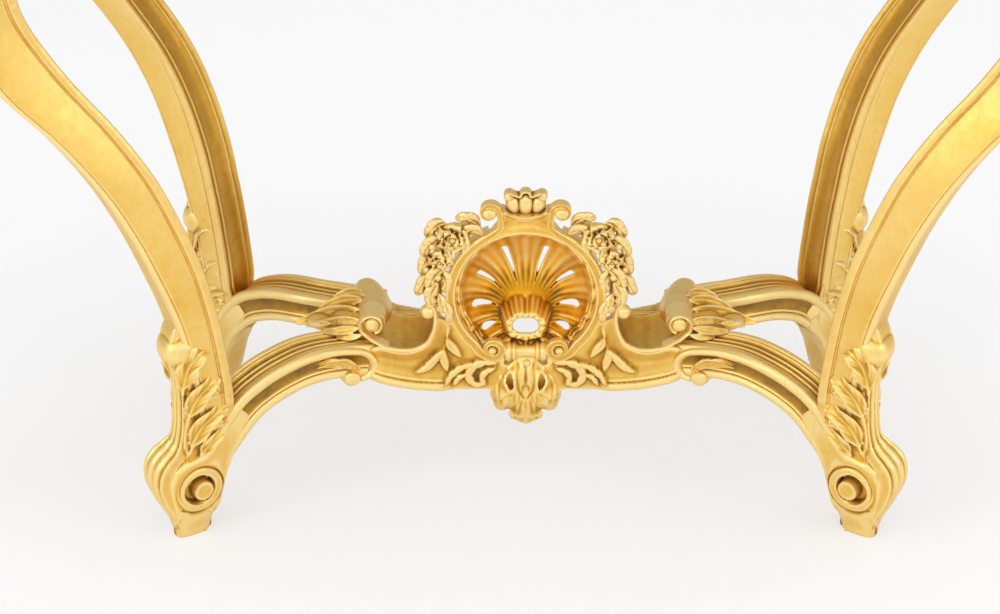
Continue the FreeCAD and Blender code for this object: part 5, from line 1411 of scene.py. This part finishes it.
def pendant_surface(x, z):
    """Carved face of the pendant: two leaf halves round the holes, over a lower lobe with fanned flutes."""
    side = np.abs(x)
    edge = near(np.array(PENDANT_HALF[:-1]), side, z)
    height = 12.5 * smooth_step((edge + 2) / 20) ** 0.7 + 2.0
    height *= 0.66 + 0.34 * np.exp(-((z - 142) / 34) ** 2)
    lobe = bump(np.clip((side - 24) / 16, -1, 1))
    height += 2.2 * lobe * smooth_step((z - 112) / 12) * smooth_step((176 - z) / 10)
    height += 2.0 * bump(np.clip(side / 12, -1, 1)) * smooth_step((150 - z) / 16)
    height -= 2.6 * np.exp(-(side / 2.2) ** 2) * smooth_step((182 - z) / 8) * smooth_step((z - 146) / 14)
    for line, deep in PENDANT_LINES:
        away = near(spline(line, 30), side, z)
        height -= 0.75 * deep * np.exp(-(away / 1.5) ** 2)
    drop = near(np.array(TEARDROP + TEARDROP[:1]), side, z)
    height += 1.5 * np.exp(-((drop - 2.0) / 1.8) ** 2)
    return -64.0 - np.clip(height, 1.0, 16.3)


def pendant_form():
    """Hanging acanthus leaf with two teardrop holes."""
    right = np.array(PENDANT_HALF, float)
    outline = np.vstack([right, right[1:-1][::-1] * [-1, 1]])
    hole = np.array(TEARDROP, float)
    holes = [hole, hole * [-1, 1]]
    return relief(
        outline, holes, 0.8, pendant_surface, lambda x, z: -62.0 - 3.0 * smooth_step((118 - z) / 22))


# Marble slab and apron rails
TOP_CORNER = 60.0
# Edge of the slab: distance inward and height
TOP_EDGE = [
    (TOP_CORNER, 0), (4, 0), (1.2, 0.6), (0, 2.6), (0, 6.0), (0.9, 7.4), (2.6, 8.0), (3.0, 9.2),
    (1.6, 10.6), (0.4, 12.6), (0, 15.4), (0.5, 18.4), (2.2, 21.4), (5.0, 23.6), (8.5, 24.7), (12, 25),
    (TOP_CORNER, 25),
]


def marble_form():
    """Slab with rounded corners and a moulded edge."""
    low, high = (np.array(corner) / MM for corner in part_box("marble_top"))
    half_x, half_y = (high - low)[:2] / 2
    rings = []
    for inset, z in TOP_EDGE:
        loop = []
        radius = max(TOP_CORNER - inset, 1)
        for corner, (sx, sy) in enumerate([(1, 1), (-1, 1), (-1, -1), (1, -1)]):
            centre = np.array([sx * (half_x - TOP_CORNER), sy * (half_y - TOP_CORNER)])
            for turn in np.radians(np.linspace(corner * 90, corner * 90 + 90, 24)):
                loop.append(centre + radius * np.array([math.cos(turn), math.sin(turn)]))
        rings.append(np.column_stack([loop, np.full(len(loop), low[2] + z)]))
    return rings_form(rings)


# Half lengths of the rails between the leg blocks
RAIL_HALF_LENGTHS = {
    "front": BLOCK_X - BLOCK_HALF,
    "back": BLOCK_X - BLOCK_HALF,
    "left": BLOCK_Y - BLOCK_HALF,
    "right": BLOCK_Y - BLOCK_HALF,
}
# Lower edge of a rail: shares of its half length and of its depth
RAIL_EDGE = [
    (1.00, 1.00), (0.94, 0.99), (0.90, 0.95), (0.84, 0.80), (0.78, 0.70), (0.66, 0.645), (0.48, 0.65),
    (0.30, 0.69), (0.20, 0.78), (0.13, 0.90), (0.06, 0.99), (0.0, 1.0),
]
RAIL_DEPTH = 66.0
# Bead along the rail's lower edge: distance forward and up
RAIL_BEAD = [
    (0.6, 0), (3.0, 0.0), (4.6, 1.0), (5.0, 3.0), (4.6, 5.0), (3.2, 6.2), (2.2, 6.6), (1.9, 7.4),
    (2.7, 8.4), (2.7, 9.4), (1.6, 10.4), (0.2, 13.0), (0, 17),
]
# Top of the rail's face and its back: y and distance below the top of the frame
RAIL_FACE = [(8, 8), (6.5, 7), (5.2, 5.5), (5.2, 0.4), (28, 0.4)]
BEAD_PROUD = 3.0


def rail_form(half_length):
    """Rail with a moulded and shaped lower edge, drawn along X with its face toward -Y."""
    run = np.linspace(-half_length, half_length, int(half_length / 1.6))
    deep = RAIL_DEPTH * along([(share * half_length, drop) for share, drop in RAIL_EDGE], np.abs(run))
    deep = np.convolve(np.pad(deep, 4, mode="edge"), np.ones(9) / 9, mode="valid")
    rings = []
    for x, depth in zip(run, deep):
        loop = [(x, 8 - out, FRAME_TOP - depth + up) for out, up in RAIL_BEAD]
        loop += [(x, y, FRAME_TOP - down) for y, down in RAIL_FACE + [(28, depth)]]
        rings.append(loop)
    return rings_form(rings)


def rail_at(side, form):
    """Rail placed on one side of the table, its bead at the CAD rail's face."""
    low, high = (np.array(corner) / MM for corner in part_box("apron_rail_" + side))
    if side == "front":
        return form.moved(lambda p: p + [0, low[1] - BEAD_PROUD, 0])
    if side == "back":
        return form.mirrored(1, -1).moved(lambda p: p + [0, high[1] + BEAD_PROUD, 0])
    turned = form.moved(lambda p: np.column_stack([p[:, 1], -p[:, 0], p[:, 2]]))
    if side == "left":
        return turned.moved(lambda p: p + [low[0] - BEAD_PROUD, 0, 0])
    return turned.mirrored(-1, 1).moved(lambda p: p + [high[0] + BEAD_PROUD, 0, 0])


# The pieces, one after another
def add_corner_pieces():
    """Legs, brackets and arms at the four corners."""
    leg = leg_form()
    block = flower_block()
    bracket = carved(bracket_forms(), voxel=0.95)
    arm = joined([arch_form(), foot_form()] + curl_forms())
    for corner, side_x, side_y in CORNERS:
        whole_leg = joined([at_corner(leg, side_x, side_y), block.mirrored(side_x, side_y)])
        add_piece("carved_leg_" + corner, whole_leg, "leg_" + corner, GOLD)
        placed = at_corner(bracket, side_x, side_y)
        add_piece("carved_bracket_" + corner, placed, "leg_bracket_" + corner, GOLD)
        add_piece("carved_arm_" + corner, at_corner(arm, side_x, side_y), "stretcher_arm_" + corner, GOLD)


def add_side_pieces():
    """Pieces of the stretcher's middle and of the cartouche, mirrored to both sides."""
    parts = [
        ("bridge", carved([bridge_body(), fascia_form()], voxel=1.0, passes=3), GOLD),
        ("junction_volute", joined(junction_volute_forms()), GOLD),
        ("junction_leaf", carved(junction_leaf_forms(), voxel=0.8, passes=4), GOLD),
        ("rolled_edge", joined(rolled_edge_forms()), GOLD),
        ("cartouche_scroll", joined(scroll_forms()), GOLD),
        ("garland", carved(garland_forms(), voxel=0.75), GOLD_DARKER_HOLLOWS),
    ]
    for name, form, material in parts:
        for side, side_x in SIDES:
            node = name + "_" + side
            add_piece("carved_" + node, form.mirrored(side_x, 1), node, material)


def add_middle_pieces():
    """Shell, crest, pendant and spool."""
    shell = carved([shell_form()], voxel=0.8)
    crest = carved(crest_forms(), voxel=0.75)
    pendant = carved([pendant_form()], voxel=0.75, passes=1)
    # The shell's hollow values get painted shade in the bowl and painted light toward the rim.
    add_piece("carved_shell", shell, "cartouche_shell", GOLD_SHELL_PAINTED_REFLECTION, shade=shell_shade)
    add_piece("carved_crest", crest, "cartouche_crest", GOLD_DARKER_HOLLOWS)
    add_piece("carved_pendant", pendant, "pendant_leaf", GOLD)
    add_piece("turned_spool", spool_form(), "cartouche_spool", GOLD)


def add_top_pieces():
    """Marble slab and moulded rails."""
    add_piece("moulded_marble_top", marble_form(), "marble_top", MARBLE, mark=False)
    for side, half_length in RAIL_HALF_LENGTHS.items():
        node = "apron_rail_" + side
        add_piece("moulded_rail_" + side, rail_at(side, rail_form(half_length)), node, GOLD)


def finish_cad_nodes():
    """Wood for the hidden blocks, tenons and pegs."""
    for name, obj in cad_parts.items():
        if name.startswith("corner_brace"):
            wood = PINE
        elif "tenon" in name or "peg" in name:
            wood = BEECH
        else:
            continue
        for slot in obj.material_slots:
            slot.material = wood


# Camera, floor and light
def add_camera():
    """Camera of the photograph, looking down on the middle of the stretcher."""
    pitch = 31
    data = bpy.data.cameras.new("camera")
    data.sensor_width = 36
    data.lens = 104.04
    data.shift_x = -0.0257
    data.clip_end = 50
    camera = bpy.data.objects.new("camera", data)
    camera.location = (0, -2.856, 1.926)
    camera.rotation_euler = (math.radians(90 - pitch), 0, 0)
    bpy.context.scene.collection.objects.link(camera)
    bpy.context.scene.camera = camera


def add_floor():
    """Pale flat floor."""
    half = 14.0
    corners = [(-half, -half, 0), (half, -half, 0), (half, half, 0), (-half, half, 0)]
    floor = bpy.data.objects.new("floor", to_mesh("floor", Form(corners, [(0, 1, 2, 3)])))
    material, nodes, surface = shader("pale_floor")
    seen = nodes.add("ShaderNodeLightPath").outputs["Is Camera Ray"]
    nodes.put(nodes.mix(seen, (0.90, 0.90, 0.905), (0.36, 0.36, 0.37)), surface["Base Color"])
    nodes.put((1, 1, 1), surface["Emission Color"])
    nodes.put(nodes.times(seen, 0.58), surface["Emission Strength"])
    nodes.put(0.75, surface["Roughness"])
    nodes.put(0.2, surface["Specular IOR Level"])
    floor.data.materials.append(material)
    bpy.context.scene.collection.objects.link(floor)


def add_lamp(name, place, target, size, power, colour):
    """Soft area lamp aimed at a point."""
    data = bpy.data.lights.new(name, "AREA")
    data.shape = "RECTANGLE"
    data.size, data.size_y = size
    data.energy = power
    data.color = colour
    lamp = bpy.data.objects.new(name, data)
    lamp.location = place
    away = np.array(place, float) - np.array(target, float)
    flat = math.hypot(away[0], away[1])
    lamp.rotation_euler = (math.atan2(flat, away[2]), 0, math.atan2(away[0], -away[1]))
    lamp.visible_camera = False
    bpy.context.scene.collection.objects.link(lamp)


def add_light():
    """Soft studio light: a broad lamp overhead, one in front and one from each side."""
    warm = (1, 0.995, 0.98)
    warmer = (1, 0.99, 0.97)
    cool = (0.98, 0.99, 1)
    add_lamp("overhead", (0.3, -0.2, 3.9), target=(0, 0.2, 0), size=(4.2, 3.4), power=79, colour=warm)
    add_lamp("front_softbox", (0.1, -4.2, 2.6), target=(0, 0, 0.2), size=(4.6, 2.4), power=37, colour=warm)
    add_lamp("left_softbox", (-2.6, -2.0, 1.8), target=(0, 0, 0.25), size=(1.8, 2.0), power=30, colour=warmer)
    add_lamp("right_softbox", (2.7, -1.6, 1.6), target=(0, 0, 0.25), size=(1.6, 1.8), power=20, colour=cool)


def add_world():
    """Even light from all sides, and plain white behind the table where the camera looks past the floor."""
    fill = 0.56
    world = bpy.data.worlds.new("studio")
    bpy.context.scene.world = world
    nodes = Nodes(world)
    background = nodes.tree.nodes["Background"].inputs
    nodes.put((0.97, 0.98, 1.0), background["Color"])
    seen = nodes.add("ShaderNodeLightPath").outputs["Is Camera Ray"]
    nodes.put(nodes.sum(nodes.times(seen, 1 - fill), fill), background["Strength"])


add_camera()
add_floor()
add_light()
add_world()
add_top_pieces()
add_corner_pieces()
add_side_pieces()
add_middle_pieces()
finish_cad_nodes()
bpy.context.scene.view_settings.view_transform = "Standard"
